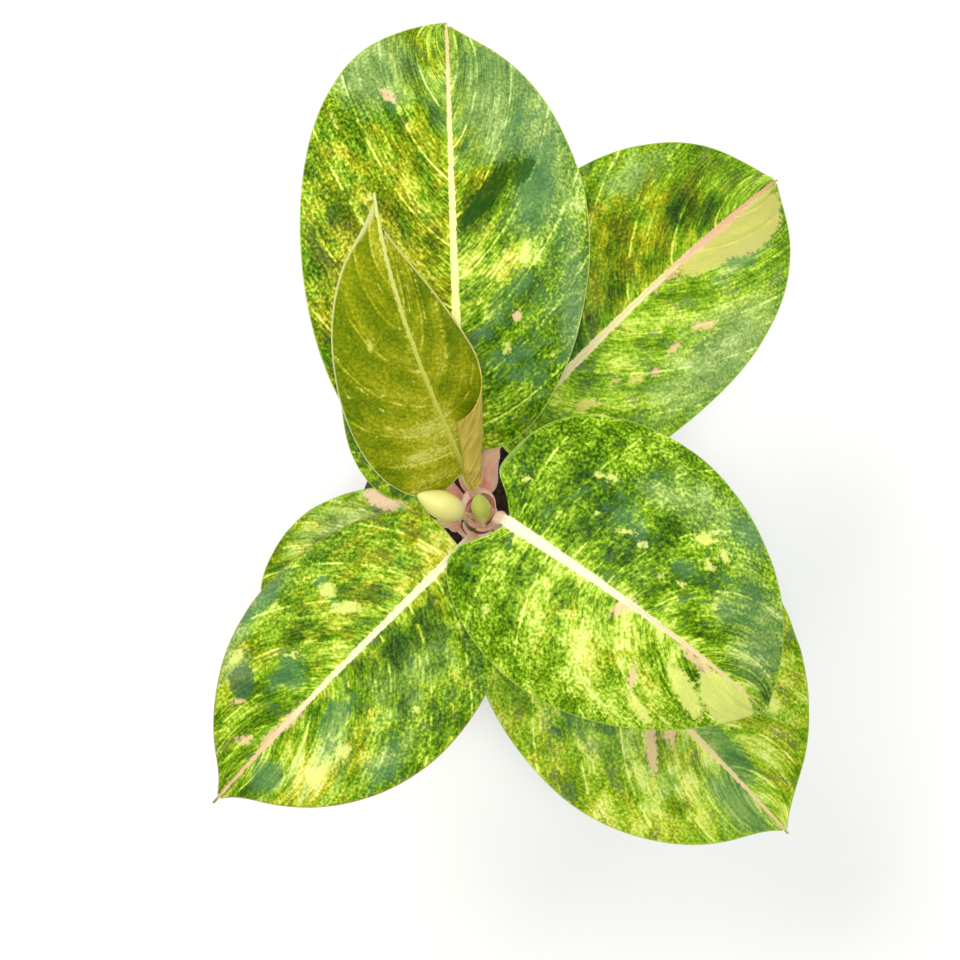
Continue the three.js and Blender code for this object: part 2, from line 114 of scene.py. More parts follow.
# Each leaf, as in the solids: lengths in millimetres, angles in degrees, pairs for the left and the
# right half. stout: how much thicker the stalk's middle is than in the solid. pillow: how far the
# blade bulges between its side veins. rows and columns: how finely the blade is divided.
LEAF_SHAPE = dict(
    widest=0.46, cusp=8, lobe=(7, 7), sinus=(0.3, 0.3), base_round=(0.9, 0.9), tip_round=(1.2, 1.2),
    breadth=(1, 1), fold=8, curl=(25, 25), bend=1.3, veer=0, roll=0, wave=1.5, wave_phase=0,
    handles=(0.4, 12), stout=1.15, apex=False, rolled=None, pillow=1.0, seed=0, rows=170, columns=40,
)
LEAVES = {
    "leaf_north": dict(
        sheath=67, side=120, junction=(-9, 17, 275), heading=92, rise=36, dip=-28, roll=8,
        length=207, width=142, widest=0.49, breadth=(0.98, 0.9), base_round=(0.8, 1.05),
        tip_round=(0.85, 1.3), curl=(20, 20), handles=(0.4, 7), wave_phase=40, seed=1,
    ),
    "leaf_northeast": dict(
        sheath=49, side=70, junction=(9, 24, 258), heading=44, rise=24, dip=-34, roll=8,
        length=195, width=130, widest=0.5, breadth=(1.08, 0.92), lobe=(7, 14),
        base_round=(0.9, 0.75), stout=1.9, wave_phase=160, seed=2,
    ),
    "leaf_southeast": dict(
        sheath=76, side=315, junction=(12, -19, 290), heading=-35, rise=12, dip=-60, roll=8,
        length=162, width=142, widest=0.31, breadth=(1.08, 0.86), lobe=(17, 23), sinus=(0.05, 0.3),
        base_round=(0.58, 0.9), tip_round=(1.8, 2.1), curl=(35, 35), bend=1.6, handles=(0.4, 7),
        stout=1.5, wave_phase=250, seed=3,
    ),
    "leaf_south": dict(
        sheath=31, side=290, junction=(16, -29, 240), heading=-44, rise=0, dip=-32,
        length=190, width=140, widest=0.48, breadth=(1.2, 0.97), tip_round=(1.3, 1.4), cusp=12,
        wave_phase=90, seed=4,
    ),
    "leaf_southwest": dict(
        sheath=58, side=252, junction=(-9, -28, 262), heading=225, rise=5, dip=-30,
        length=162, width=124, widest=0.45, breadth=(1, 0.86), tip_round=(1.5, 1.5), curl=(20, 20),
        cusp=12, wave_phase=300, seed=5,
    ),
    "leaf_west": dict(
        sheath=40, side=204, junction=(-23, -12, 225), heading=208, rise=10, dip=-35,
        length=99, width=74, wave_phase=20, seed=6, rows=110, columns=26,
    ),
    "leaf_northwest": dict(
        sheath=22, side=128, junction=(-19, 17, 232), heading=100, rise=20, dip=-30,
        length=108, width=90, widest=0.24, breadth=(1, 0.75), lobe=(19, 3), base_round=(0.75, 1.3),
        wave_phase=200, seed=7, rows=120, columns=28,
    ),
    "leaf_young": dict(
        apex=True, side=120, junction=(-7, 6.5, 277), heading=120, rise=62, dip=40, veer=-23,
        length=148, width=86, widest=0.36, breadth=(0.92, 0.66), lobe=(12, 20), cusp=12,
        base_round=(0.95, 0.6), tip_round=(1.3, 2.4), fold=4, curl=(5, -70), bend=1.2, wave=0.8,
        rolled=dict(radius=(3.9, 8.4), flat=(2.5, 28), open=0.6),
        handles=(0.4, 14), pillow=0.3, seed=8, rows=190, columns=44,
    ),
}


def mix(a, b, share):
    return a + (b - a) * share


def smooth(start, stop, value):
    share = np.clip((value - start) / (stop - start), 0, 1)
    return share * share * (3 - 2 * share)


def direction(heading, slope):
    heading, slope = np.radians(heading), np.radians(slope)
    parts = (np.cos(slope) * np.cos(heading), np.cos(slope) * np.sin(heading), np.sin(slope))
    return np.stack(np.broadcast_arrays(*parts), -1)


def leaf_frame(forward, heading, roll):
    """The way left and the way out of the upper face, for each way forward along the leaf."""
    heading, roll = np.radians(heading), np.radians(roll)
    parts = (-np.sin(heading), np.cos(heading), 0.0)
    left = np.stack(np.broadcast_arrays(*parts), -1) + 0 * forward
    left = left - forward * (left * forward).sum(-1, keepdims=True)
    left /= np.linalg.norm(left, axis=-1, keepdims=True)
    up = np.cross(forward, left)
    roll = np.asarray(roll)[..., None]
    return left * np.cos(roll) + up * np.sin(roll), up * np.cos(roll) - left * np.sin(roll)


def midrib_of(leaf):
    """A function that gives the midrib's place and frame at any distance from the junction."""
    steps = 600
    full = leaf["length"] + leaf["cusp"]

    def slope_at(share):
        return mix(leaf["rise"], leaf["dip"], share ** leaf["bend"])

    def heading_at(share):
        return leaf["heading"] + leaf["veer"] * share**2

    middles = (np.arange(steps) + 0.5) / steps
    runs = direction(heading_at(middles), slope_at(middles)) * full / steps
    places = np.array(leaf["junction"], float) + np.vstack([np.zeros(3), np.cumsum(runs, 0)])
    marks = np.linspace(0, full, steps + 1)

    def at(distance):
        inside = np.clip(distance, 0, full)
        share = inside / full
        place = np.stack([np.interp(inside, marks, places[:, axis]) for axis in range(3)], -1)
        forward = direction(heading_at(share), slope_at(share))
        place = place + forward * (distance - inside)[..., None]
        left, up = leaf_frame(forward, heading_at(share), leaf["roll"])
        return place, share, left, up

    return at


def arc(distance, slope, turn):
    """Out and up along an arc across half the blade, and the slope there."""
    turn = np.where(np.abs(turn) < 1e-6, 1e-6, turn)
    end = slope - turn * distance
    return (np.sin(slope) - np.sin(end)) / turn, (np.cos(end) - np.cos(slope)) / turn, end


def cross_section(leaf, share, across, side):
    """Half of the blade's cross section. A rolled half is flat at first, then rolls up and over."""
    fold = leaf["fold"] * DEG * (1 - FOLD_FADE * share)
    turn = np.where(side > 0, *leaf["curl"]) * DEG / (leaf["width"] / 2)
    out, up, slope = arc(across, fold, turn)
    if leaf["rolled"]:
        flat, radius = roll_of(leaf, share)
        first = arc(np.minimum(across, flat), fold, turn)
        second = arc(np.maximum(across - flat, 0), first[2], -1 / radius)
        right = side < 0
        out = np.where(right, first[0] + second[0], out)
        up = np.where(right, first[1] + second[1], up)
        slope = np.where(right, second[2], slope)
    return out, up, slope


def roll_of(leaf, share):
    """How far the rolled half is flat, and the radius that it then rolls with."""
    opened = np.minimum(share / leaf["rolled"]["open"], 1)
    return mix(*leaf["rolled"]["flat"], opened), mix(*leaf["rolled"]["radius"], opened)


def margin_at(leaf, turn, side):
    """The flat outline of one half: turn runs from 0 at the junction to pi at the drip tip."""
    breadth = np.where(side > 0, *leaf["breadth"])
    if leaf["rolled"]:
        # Towards the foot the rolled half is broad, and most of it is hidden in the roll.
        near_foot = 1 - smooth(0.4 * math.pi, 0.56 * math.pi, turn)
        breadth = breadth + (side < 0) * ROLL_EXTRA_BREADTH * near_foot
    half = leaf["width"] / 2 * breadth
    middle = leaf["widest"] * leaf["length"]
    at_base = turn < math.pi / 2
    lobe = np.where(side > 0, *leaf["lobe"])
    reach = np.where(at_base, middle + lobe, leaf["length"] - middle)
    roundness = np.where(side > 0, *leaf["base_round"])
    roundness = np.where(at_base, roundness, np.where(side > 0, *leaf["tip_round"]))
    sinus = np.where(at_base, lobe * np.exp(-((turn / np.where(side > 0, *leaf["sinus"])) ** 2)), 0)
    past_start = np.maximum(0, (turn / math.pi - CUSP_START) / (1 - CUSP_START))
    cusp = leaf["cusp"] * past_start**CUSP_POWER
    along = middle - reach * np.cos(turn) + sinus + cusp
    across = half * np.abs(np.sin(turn)) ** roundness
    if leaf["rolled"]:
        flat, radius = roll_of(leaf, np.clip(along / (leaf["length"] + leaf["cusp"]), 0, 1))
        across = np.where(side < 0, np.minimum(across, flat + ROLL_TURN * radius), across)
    return along, across


# Where the main side veins leave the midrib, as shares of its length, on the left and right halves
SIDE_VEINS = {
    1: (0.03, 0.11, 0.21, 0.32, 0.45, 0.59, 0.74),
    -1: (0.05, 0.15, 0.26, 0.38, 0.51, 0.66, 0.8),
}
# A row of points runs from the midrib out to the margin. ROW_SWEEP crowds the rows at the base,
# ROW_CURVE arches them forward, and VEIN_LAG is how far a side vein falls behind its row.
ROW_SWEEP = 1.8
ROW_CURVE = 0.45
VEIN_LAG = 0.125
VEIN_GAP_RANGE = (2, 40)
MIDRIB_COLUMNS = 12


def ring_columns(leaf):
    """Side, share of the way to the margin, and angle round the midrib, for the upper face."""
    outer = (np.arange(leaf["columns"]) + 1) / leaf["columns"]
    angle = np.linspace(90, -90, MIDRIB_COLUMNS + 1)
    share = np.concatenate([outer[::-1], 0 * angle, outer])
    side = np.concatenate([1 + 0 * outer, np.where(angle < 0, -1, 1), -1 + 0 * outer])
    angle = np.concatenate([90 + 0 * outer, np.abs(angle), 90 + 0 * outer])
    return side, share, angle * DEG


def midrib_profile(angle):
    """The midrib's upper face: a low rounded band with a fine groove along its middle."""
    place = np.sin(angle)
    groove = MIDRIB_GROOVE_DEPTH * np.exp(-((place / MIDRIB_GROOVE_WIDTH) ** 2))
    return MIDRIB_BAND_HEIGHT * (1 - place**2) - groove


def vein_field(along, across, rows_share, share, side):
    """Grain in millimetres, which is even along a side vein, the side veins counted from the base,
    and the room between them in millimetres. Side veins leave the midrib steeply and arch forward."""
    middle = along.shape[1] // 4
    lengths = np.hypot(np.diff(along[:, middle]), np.diff(across[:, middle]))
    row = np.concatenate([[0], np.cumsum(lengths)])
    at = rows_share[:, None]
    source = np.maximum(at - VEIN_LAG * smooth(0, 0.3, at) * share**1.4, 0)
    grain = np.interp(source, rows_share, row)
    number, gap = np.zeros(along.shape), np.full(along.shape, 20.0)
    for way, shares in SIDE_VEINS.items():
        veins = [0, *np.array(shares) ** (1 / ROW_SWEEP), 1]
        number = np.where(side == way, np.interp(source, veins, np.arange(len(veins))), number)
    first = int(np.argmax(share == 0))
    for part in (slice(0, first + 1), slice(along.shape[1] - first - 1, None)):
        rise, run = np.gradient(number[:, part])
        ahead = [np.gradient(values[:, part]) for values in (along, across)]
        area = np.abs(ahead[0][0] * ahead[1][1] - ahead[0][1] * ahead[1][0])
        slope = np.hypot(*(rise * each[1] - run * each[0] for each in ahead))
        gap[:, part] = np.clip(area / np.maximum(slope, 1e-9), *VEIN_GAP_RANGE)
    return grain, number, gap


def blade(leaf):
    """Both faces of the blade as grids of points, and what the skin needs to know at each point."""
    side, share, angle = ring_columns(leaf)
    midrib = midrib_of(leaf)
    full = leaf["length"] + leaf["cusp"]
    count = leaf["rows"]
    rows_share = (1 - np.cos(math.pi * np.arange(count + 1) / count)) / 2
    start = (full * rows_share**ROW_SWEEP)[:, None]
    radius = mix(STALK_RADIUS, MIDRIB_TIP_RADIUS, (start / full) ** MIDRIB_TAPER)
    margin_along, margin_across = margin_at(leaf, rows_share[:, None] * math.pi, side)
    reach = np.maximum(margin_across - radius, 0)
    out_share = (1 - ROW_CURVE) * share + ROW_CURVE * share**2
    along = start + (margin_along - start) * out_share * np.minimum(reach, 1)
    across = radius * np.sin(angle) + reach * share
    grain, number, gap = vein_field(along, across, rows_share, share, side)
    phase = number % 1
    vein = np.minimum(phase, 1 - phase) * gap

    place, midrib_share, left, up = midrib(along)
    section = cross_section(leaf, midrib_share, across, side)
    out_half = across / (leaf["width"] / 2)
    way = np.where(side > 0, 0, 1.3)
    wave_turn = 4 * math.pi * midrib_share + leaf["wave_phase"] * DEG + way
    lift = leaf["wave"] * out_half**2 * np.sin(wave_turn)
    ripple = RIPPLE_HEIGHTS[0] * out_half**3 * np.sin(RIPPLE_TURNS[0] * wave_turn + leaf["seed"])
    ripple += RIPPLE_HEIGHTS[1] * out_half**4 * np.sin(RIPPLE_TURNS[1] * wave_turn + 2 * leaf["seed"])
    # Between the side veins the blade is pillowed, and each vein lies in a shallow groove.
    fade = smooth(0, 0.12, share) * (1 - smooth(0.7, 1, share))
    fade = fade * smooth(0, 0.06, rows_share)[:, None]
    pillow = leaf["pillow"] * fade * (np.sin(math.pi * phase) ** 0.7 - 0.5)
    groove = -VEIN_GROOVE_DEPTH * fade * np.exp(-((vein / VEIN_GROOVE_WIDTH) ** 2))
    normal = up * np.cos(section[2])[..., None]
    normal = normal - left * (side * np.sin(section[2]))[..., None]
    middle = place + left * (side * section[0])[..., None]
    middle = middle + up * (section[1] + lift + ripple)[..., None]
    middle = middle + normal * (pillow + groove)[..., None]

    half = mix(BLADE_THICKNESS, MARGIN_THICKNESS, share) / 2
    on_midrib = np.where(share > 0, 0, np.cos(angle))
    profile = np.where(share > 0, 0, midrib_profile(angle))
    profile = profile * np.minimum(radius / STALK_RADIUS + 0.2, 1)
    keel = np.maximum(radius - half, 0.2)
    top = middle + normal * (half + profile)[..., None]
    bottom = middle - normal * (half + keel * on_midrib)[..., None]
    tip = midrib(np.array([full]))[0][0]
    top[-1] = bottom[-1] = tip

    # Millimetres in from the margin, measured square to it
    row_way = np.stack([along[:, -1] - along[:, -2], across[:, -1] - across[:, -2]], -1)
    edge_way = np.stack([np.gradient(margin_along[:, -1]), np.gradient(margin_across[:, -1])], -1)
    crossing = np.abs(row_way[:, 0] * edge_way[:, 1] - row_way[:, 1] * edge_way[:, 0])
    crossing /= np.linalg.norm(row_way, axis=1) * np.linalg.norm(edge_way, axis=1) + 1e-9
    edge = (1 - share) * np.hypot(reach, margin_along - start) * np.maximum(crossing, 0.2)[:, None]
    facts = dict(
        along=along, across=across * side, grain=grain, edge=edge, rib=across - radius,
        # shade: which side of a side vein gets painted light and which gets painted shade
        number=number, gap=gap, shade=fade * np.sin(2 * math.pi * number),
    )
    return top, bottom, facts


def bezier(points, share):
    a, b, c, d = (np.array(point, float) for point in points)
    t = share[:, None]
    return a * (1 - t) ** 3 + 3 * b * t * (1 - t) ** 2 + 3 * c * t**2 * (1 - t) + d * t**3


def stem_radius(height):
    return mix(STEM_FOOT_RADIUS, STEM_CROWN_RADIUS, np.maximum(height, 0) / STEM_HEIGHT)


STALK_ROWS = 46
YOUNG_SHEATH_RADIUS = 7
YOUNG_SHEATH_FLARE = 0.05
# The stalk's foot and its sheath: how thick the foot is, how far up the sheath holds and where it
# has turned into the stalk, how many degrees it spreads to each side at its top and at its foot,
# how fast that narrows, and how thick it is at its edges and in its middle, in millimetres.
SHEATH = dict(
    foot=2.8, held=(2, 34), spread=(7, SHEATH_REACH), fall=11, narrowing=1.3,
    thickness=(SHEATH_EDGE, SHEATH_THICKNESS),
)
YOUNG_SHEATH = dict(foot=3.3, held=(16, 52), spread=(20, 135), fall=30, narrowing=2, thickness=(0.6, 1.6))


def stalk(leaf):
    """Both faces of the stalk, from the sheath that holds the stem to the foot of the blade."""
    side, _, angle = ring_columns(leaf)
    sheath = YOUNG_SHEATH if leaf["apex"] else SHEATH
    junction = np.array(leaf["junction"], float)
    if leaf["apex"]:
        start = np.array([0, 0, SOIL_TOP + STEM_HEIGHT + CLEARANCE])
    else:
        out = stem_radius(leaf["sheath"] + 1) + CLEARANCE + 1.3
        start = direction(leaf["side"], 0) * out
        start[2] = SOIL_TOP + leaf["sheath"] + 1
    lean = 90 if leaf["apex"] else 90 - STALK_LEAN
    reach = np.linalg.norm(junction - start)
    first, second = leaf["handles"]
    points = (
        start,
        start + direction(leaf["side"], lean) * reach * first,
        junction - direction(leaf["heading"], leaf["rise"]) * second,
        junction,
    )
    fine = bezier(points, np.linspace(0, 1, 400))
    lengths = np.concatenate([[0], np.cumsum(np.linalg.norm(np.diff(fine, axis=0), axis=1))])
    share = np.arange(STALK_ROWS) / STALK_ROWS
    wanted = share * lengths[-1]
    line = np.stack([np.interp(wanted, lengths, fine[:, axis]) for axis in range(3)], -1)
    ahead = np.stack([np.interp(wanted + 0.5, lengths, fine[:, axis]) for axis in range(3)], -1)
    forward = ahead - line
    forward /= np.linalg.norm(forward, axis=1, keepdims=True)
    turn = (leaf["heading"] - leaf["side"] + 180) % 360 - 180
    heading = leaf["side"] + turn * smooth(0.1, 0.9, share)
    left, up = leaf_frame(forward, heading, leaf["roll"] * share)
    stout = mix(1, leaf["stout"], smooth(0.15, 0.45, share) * (1 - smooth(0.86, 1, share)))
    radius = (mix(sheath["foot"], STALK_RADIUS, share) * stout)[:, None]
    flat = smooth(0.8, 1, share)[:, None]
    half = BLADE_THICKNESS / 2
    cosine = np.cos(angle)
    channel = 0.5 * np.exp(-((np.sin(angle) / 0.35) ** 2)) * smooth(0.15, 0.4, share)[:, None]
    round_top = radius * cosine - channel
    top_height = mix(round_top, half + midrib_profile(angle), flat)
    bottom_height = mix(radius * cosine, np.maximum(radius * cosine, half), flat)
    middle = line[:, None, :] + left[:, None, :] * (side * radius * np.sin(angle))[..., None]
    top = middle + up[:, None, :] * top_height[..., None]
    bottom = middle - up[:, None, :] * bottom_height[..., None]
    rise = wanted[:, None]
    # The foot is a crescent wrapped round the stem. It narrows upwards and turns into the stalk. The
    # young leaf's stands on the stem's top and is open towards the buds.
    held = (1 - smooth(*sheath["held"], rise))[..., None]
    turned = side * np.sin(angle)
    spread = mix(*sheath["spread"], np.exp(-((rise / sheath["fall"]) ** sheath["narrowing"])))
    thickness = mix(*sheath["thickness"], np.cos(angle) ** 1.2) + 0 * rise
    if leaf["apex"]:
        height = line[:, 2:]
        wall = YOUNG_SHEATH_RADIUS + YOUNG_SHEATH_FLARE * rise
    else:
        height = line[:, 2:] - 1
        wall = stem_radius(height - SOIL_TOP) + CLEARANCE
    bearing = leaf["side"] - spread * turned
    for face, extra in ((top, 0.0), (bottom, thickness)):
        wrap = direction(bearing, 0) * (wall + extra)[..., None]
        wrap[..., 2] = height
        wrap[..., :2] += line[:, None, :2] - line[:1, None, :2]
        face[:] = mix(face, wrap, held)
    rise, turned = (np.broadcast_to(values, top.shape[:2]) for values in (rise, turned))
    return top, bottom, dict(rise=rise, turned=turned)


def linked(name, mesh):
    made = bpy.data.objects.new(name, mesh)
    scene.collection.objects.link(made)
    return made


def closed_mesh(name, rings, kinds, attributes, cap_rows=True):
    """Joins rings of points into one closed mesh. Points that fall together are merged."""
    count_rows, count, _ = rings.shape
    keys = np.round(rings.reshape(-1, 3) * 1e4).astype(np.int64)
    _, first, index = np.unique(keys, axis=0, return_index=True, return_inverse=True)
    index = index.reshape(count_rows, count)
    points = rings.reshape(-1, 3)[first] * MM
    a, b = index[:-1], np.roll(index, -1, axis=1)[:-1]
    d, c = index[1:], np.roll(index, -1, axis=1)[1:]
    quads = np.stack([a, b, c, d], -1).reshape(-1, 4)
    kinds = kinds.reshape(-1)
    faces, face_kinds = [], []
    for quad, kind in zip(quads.tolist(), kinds.tolist()):
        corners = [v for k, v in enumerate(quad) if v != quad[k - 1]]
        if len(set(corners)) > 2:
            faces.append(corners)
            face_kinds.append(kind)
    if cap_rows:
        half = count // 2
        for j in range(half - 1):
            quad = [index[0, j + 1], index[0, j], index[0, count - 1 - j], index[0, count - 2 - j]]
            corners = [int(v) for k, v in enumerate(quad) if v != quad[k - 1]]
            if len(set(corners)) > 2:
                faces.append(corners)
                face_kinds.append(int(kinds[0]))
    mesh = bpy.data.meshes.new(name)
    mesh.from_pydata(points.tolist(), [], faces)
    mesh.polygons.foreach_set("material_index", face_kinds)
    for label, values in attributes.items():
        kind = "FLOAT_VECTOR" if values.ndim == 3 else "FLOAT"
        layer = mesh.attributes.new(label, kind, "POINT")
        flat = values.reshape(count_rows * count, -1)[first].astype(np.float32)
        layer.data.foreach_set("vector" if kind == "FLOAT_VECTOR" else "value", flat.ravel())
    face_out(mesh)
    mesh.shade_smooth()
    mesh.set_sharp_from_angle(angle=55 * DEG)
    return mesh


def face_out(mesh):
    """Makes a closed mesh's faces point outwards, judged by its volume."""
    work = bmesh.new()
    work.from_mesh(mesh)
    if work.calc_volume(signed=True) < 0:
        bmesh.ops.reverse_faces(work, faces=work.faces)
    work.to_mesh(mesh)
    work.free()


def linear(code):
    """The linear colour of an sRGB hex code."""
    parts = [int(code[k : k + 2], 16) / 255 for k in (1, 3, 5)]
    return [p / 12.92 if p <= 0.04045 else ((p + 0.055) / 1.055) ** 2.4 for p in parts] + [1]


def add_node(tree, kind, inputs=None, stops=None, **settings):
    """Adds a node. An input is a value, a socket, or another node for its first output."""
    made = tree.nodes.new(kind)
    for name, value in settings.items():
        setattr(made, name, value)
    if stops:
        elements = made.color_ramp.elements
        while len(elements) < len(stops):
            elements.new(1)
        for element, (place, code) in zip(elements, stops):
            element.position = place
            element.color = linear(code)
    for socket, value in (inputs or {}).items():
        if isinstance(value, bpy.types.Node):
            value = value.outputs[0]
        if isinstance(value, bpy.types.NodeSocket):
            tree.links.new(value, made.inputs[socket])
        else:
            made.inputs[socket].default_value = value
    return made


def new_material(name):
    material = bpy.data.materials.new(name)
    material.use_nodes = True
    material.node_tree.nodes.clear()
    return material, material.node_tree


# Colours of the mottling, from its dark ground to its palest flecks
SUNLIT = (
    (0.0, "#143602"), (0.14, "#284e02"), (0.3, "#416703"), (0.42, "#588005"), (0.54, "#70980e"),
    (0.66, "#8cb420"), (0.8, "#b2d040"), (1.0, "#dcea7c"),
)
GOLDEN = (
    (0.0, "#2c4202"), (0.14, "#445202"), (0.3, "#5f6b02"), (0.42, "#778204"), (0.54, "#90990a"),
    (0.66, "#afb41c"), (0.8, "#d2d444"), (1.0, "#ecec8c"),
)
# The same mottling with a painted sheen: milky and blue-grey, as a reflection of the soft lights
PAINTED_SHEEN_STOPS = (
    (0.0, "#456a3c"), (0.14, "#567a40"), (0.3, "#678a46"), (0.42, "#77974c"), (0.54, "#87a554"),
    (0.66, "#97b35e"), (0.8, "#acc673"), (1.0, "#cbdd99"),
)


def vein_distance(tree, vein):
    """Millimetres to the nearest side vein."""
    parts = add_node(tree, "ShaderNodeSeparateXYZ", {0: vein})
    steps = add_node(tree, "ShaderNodeMath", {0: parts.outputs[0], 1: 0.5}, operation="PINGPONG")
    return add_node(tree, "ShaderNodeMath", {0: steps, 1: parts.outputs[1]}, operation="MULTIPLY")


def blade_skin(name, leaf, look):
    """The satin, leathery upper face: fine flecks drawn out along the side veins near the midrib
    and grainy further out, slate patches that are partly painted sheen, pale veins, ragged cream
    blotches, a painted milky sheen, and painted light and shade at the two sides of each side vein."""
    material, tree = new_material(name)
    grain, place, depth, vein, marks, tone = (
        add_node(tree, "ShaderNodeAttribute", attribute_name="leaf_" + label).outputs["Vector"]
        for label in ("grain", "place", "depth", "vein", "marks", "tone")
    )
    depths = add_node(tree, "ShaderNodeSeparateXYZ", {0: depth})
    marked = add_node(tree, "ShaderNodeSeparateXYZ", {0: marks})
    tones = add_node(tree, "ShaderNodeSeparateXYZ", {0: tone})
    drawn = add_node(
        tree, "ShaderNodeVectorMath", {0: grain, 1: (1, 0.5, 1)}, operation="MULTIPLY"
    ).outputs[0]
    eased = add_node(tree, "ShaderNodeMix", {0: 0.45, 4: place, 5: grain}, data_type="VECTOR").outputs[1]
    # Sizes in millimetres: specks 1.6, streaks 1.5 wide, clumps 6, patches 9 (they place the golden
    # ground, the slate and the painted sheen), drifts 24.
    # The ragged edges of the blotches and of the midrib's band are 2.4.
    specks, streaks, clumps, patches, drifts, ragged = (
        add_node(
            tree, "ShaderNodeTexNoise",
            {"Vector": vector, "Scale": 1 / size, "Detail": detail, "Roughness": rough},
        )
        for vector, size, detail, rough in (
            (place, 1.6, 3, 0.6), (drawn, 1.5, 3, 0.6), (eased, 6, 4, 0.55), (eased, 9, 5, 0.62),
            (place, 24, 2, 0.5), (place, 2.4, 3, 0.6),
        )
    )
    drawn_share = add_node(
        tree, "ShaderNodeMapRange",
        {0: depths.outputs[1], 1: 0.0, 2: 45.0, 3: look["drawn"][0], 4: look["drawn"][1]},
    )
    fine = add_node(tree, "ShaderNodeMix", {0: drawn_share, 2: specks.outputs[0], 3: streaks.outputs[0]})
    # Clumps with fairly sharp edges, as cells of another colour grow
    islands = add_node(tree, "ShaderNodeMapRange", {0: clumps, 1: 0.44, 2: 0.56})
    noises = add_node(tree, "ShaderNodeCombineXYZ", {0: fine, 1: islands, 2: drifts})
    mottle = add_node(
        tree, "ShaderNodeVectorMath", {0: noises, 1: look["weights"]}, operation="DOT_PRODUCT"
    ).outputs["Value"]
    vein_mm = vein_distance(tree, vein)
    vein_line = add_node(
        tree, "ShaderNodeMapRange", {0: vein_mm, 1: 0.2, 2: 0.85, 3: 1.0, 4: 0.0},
        interpolation_type="SMOOTHSTEP",
    )
    vein_shown = add_node(
        tree, "ShaderNodeMapRange",
        {0: clumps, 1: look["vein_gaps"] - 0.07, 2: look["vein_gaps"] + 0.07, 3: 0.0, 4: 1.0},
    )
    vein_pale = add_node(tree, "ShaderNodeMath", {0: vein_line, 1: vein_shown}, operation="MULTIPLY")
    glow = add_node(tree, "ShaderNodeMapRange", {0: depths.outputs[1], 1: 0.0, 2: 7.0, 3: 1.0, 4: 0.0})
    extras = add_node(tree, "ShaderNodeCombineXYZ", {0: vein_pale, 1: glow, 2: tones.outputs[0]})
    extra = add_node(
        tree, "ShaderNodeVectorMath", {0: extras, 1: (look["veins"], look["glow"], 1.0)},
        operation="DOT_PRODUCT",
    ).outputs["Value"]
    level = add_node(tree, "ShaderNodeMath", {0: mottle, 1: extra}, operation="ADD")
    tone_place = add_node(
        tree, "ShaderNodeMath", {0: level, 1: look["level"] - sum(look["weights"]) / 2}, operation="ADD"
    )
    sunlit, golden, bloomed = (
        add_node(tree, "ShaderNodeValToRGB", {0: tone_place}, stops=look[label])
        for label in ("sunlit", "golden", "bloomed")
    )
    gilt_level = add_node(tree, "ShaderNodeMath", {0: patches, 1: tones.outputs[2]}, operation="ADD")
    gilt = add_node(
        tree, "ShaderNodeMapRange",
        {0: gilt_level, 1: look["gilt"] + 0.1, 2: look["gilt"] - 0.1, 3: 0.0, 4: 1.0},
    )
    ground = add_node(tree, "ShaderNodeMix", {0: gilt, 6: sunlit, 7: golden}, data_type="RGBA").outputs[2]
    # Painted sheen: a milky, blue-grey colour painted where a reflection of the soft lights would fall, as
    # the patches and the fields of tone call for
    painted_sheen_level = add_node(
        tree, "ShaderNodeMath", {0: patches, 1: 1.2, 2: tones.outputs[1]}, operation="MULTIPLY_ADD"
    )
    bloom = add_node(tree, "ShaderNodeMapRange", {0: painted_sheen_level, 1: 0.75, 2: 1.25})
    colour = add_node(
        tree, "ShaderNodeMix", {0: bloom, 6: ground, 7: bloomed}, data_type="RGBA"
    ).outputs[2]
    # Slate patches: a smooth grey-green that the flecks only half cover, partly the leaf's own grey-green
    # and partly a painted blue-grey sheen of reflected light
    slate_level = add_node(tree, "ShaderNodeMath", {0: patches, 1: tones.outputs[2]}, operation="SUBTRACT")
    slate_place = add_node(
        tree, "ShaderNodeMath", {0: mottle, 1: 0.2, 2: slate_level}, operation="MULTIPLY_ADD"
    )
    slate = add_node(
        tree, "ShaderNodeMapRange",
        {0: slate_place, 1: look["slate_at"] - 0.1, 2: look["slate_at"], 3: look["slate_share"], 4: 0.0},
    )
    colour = add_node(
        tree, "ShaderNodeMix", {0: slate, 6: colour, 7: linear(look["slate"])}, data_type="RGBA"
    ).outputs[2]
    # Dark slate blotches, listed one by one
    dark_level = add_node(
        tree, "ShaderNodeMath", {0: ragged, 1: 7.0, 2: marked.outputs[0]}, operation="MULTIPLY_ADD"
    )
    dark = add_node(tree, "ShaderNodeMapRange", {0: dark_level, 1: 3.1, 2: 4.1, 3: 0.0, 4: 0.74})
    colour = add_node(
        tree, "ShaderNodeMix", {0: dark, 6: colour, 7: linear(look["dark"])}, data_type="RGBA"
    ).outputs[2]
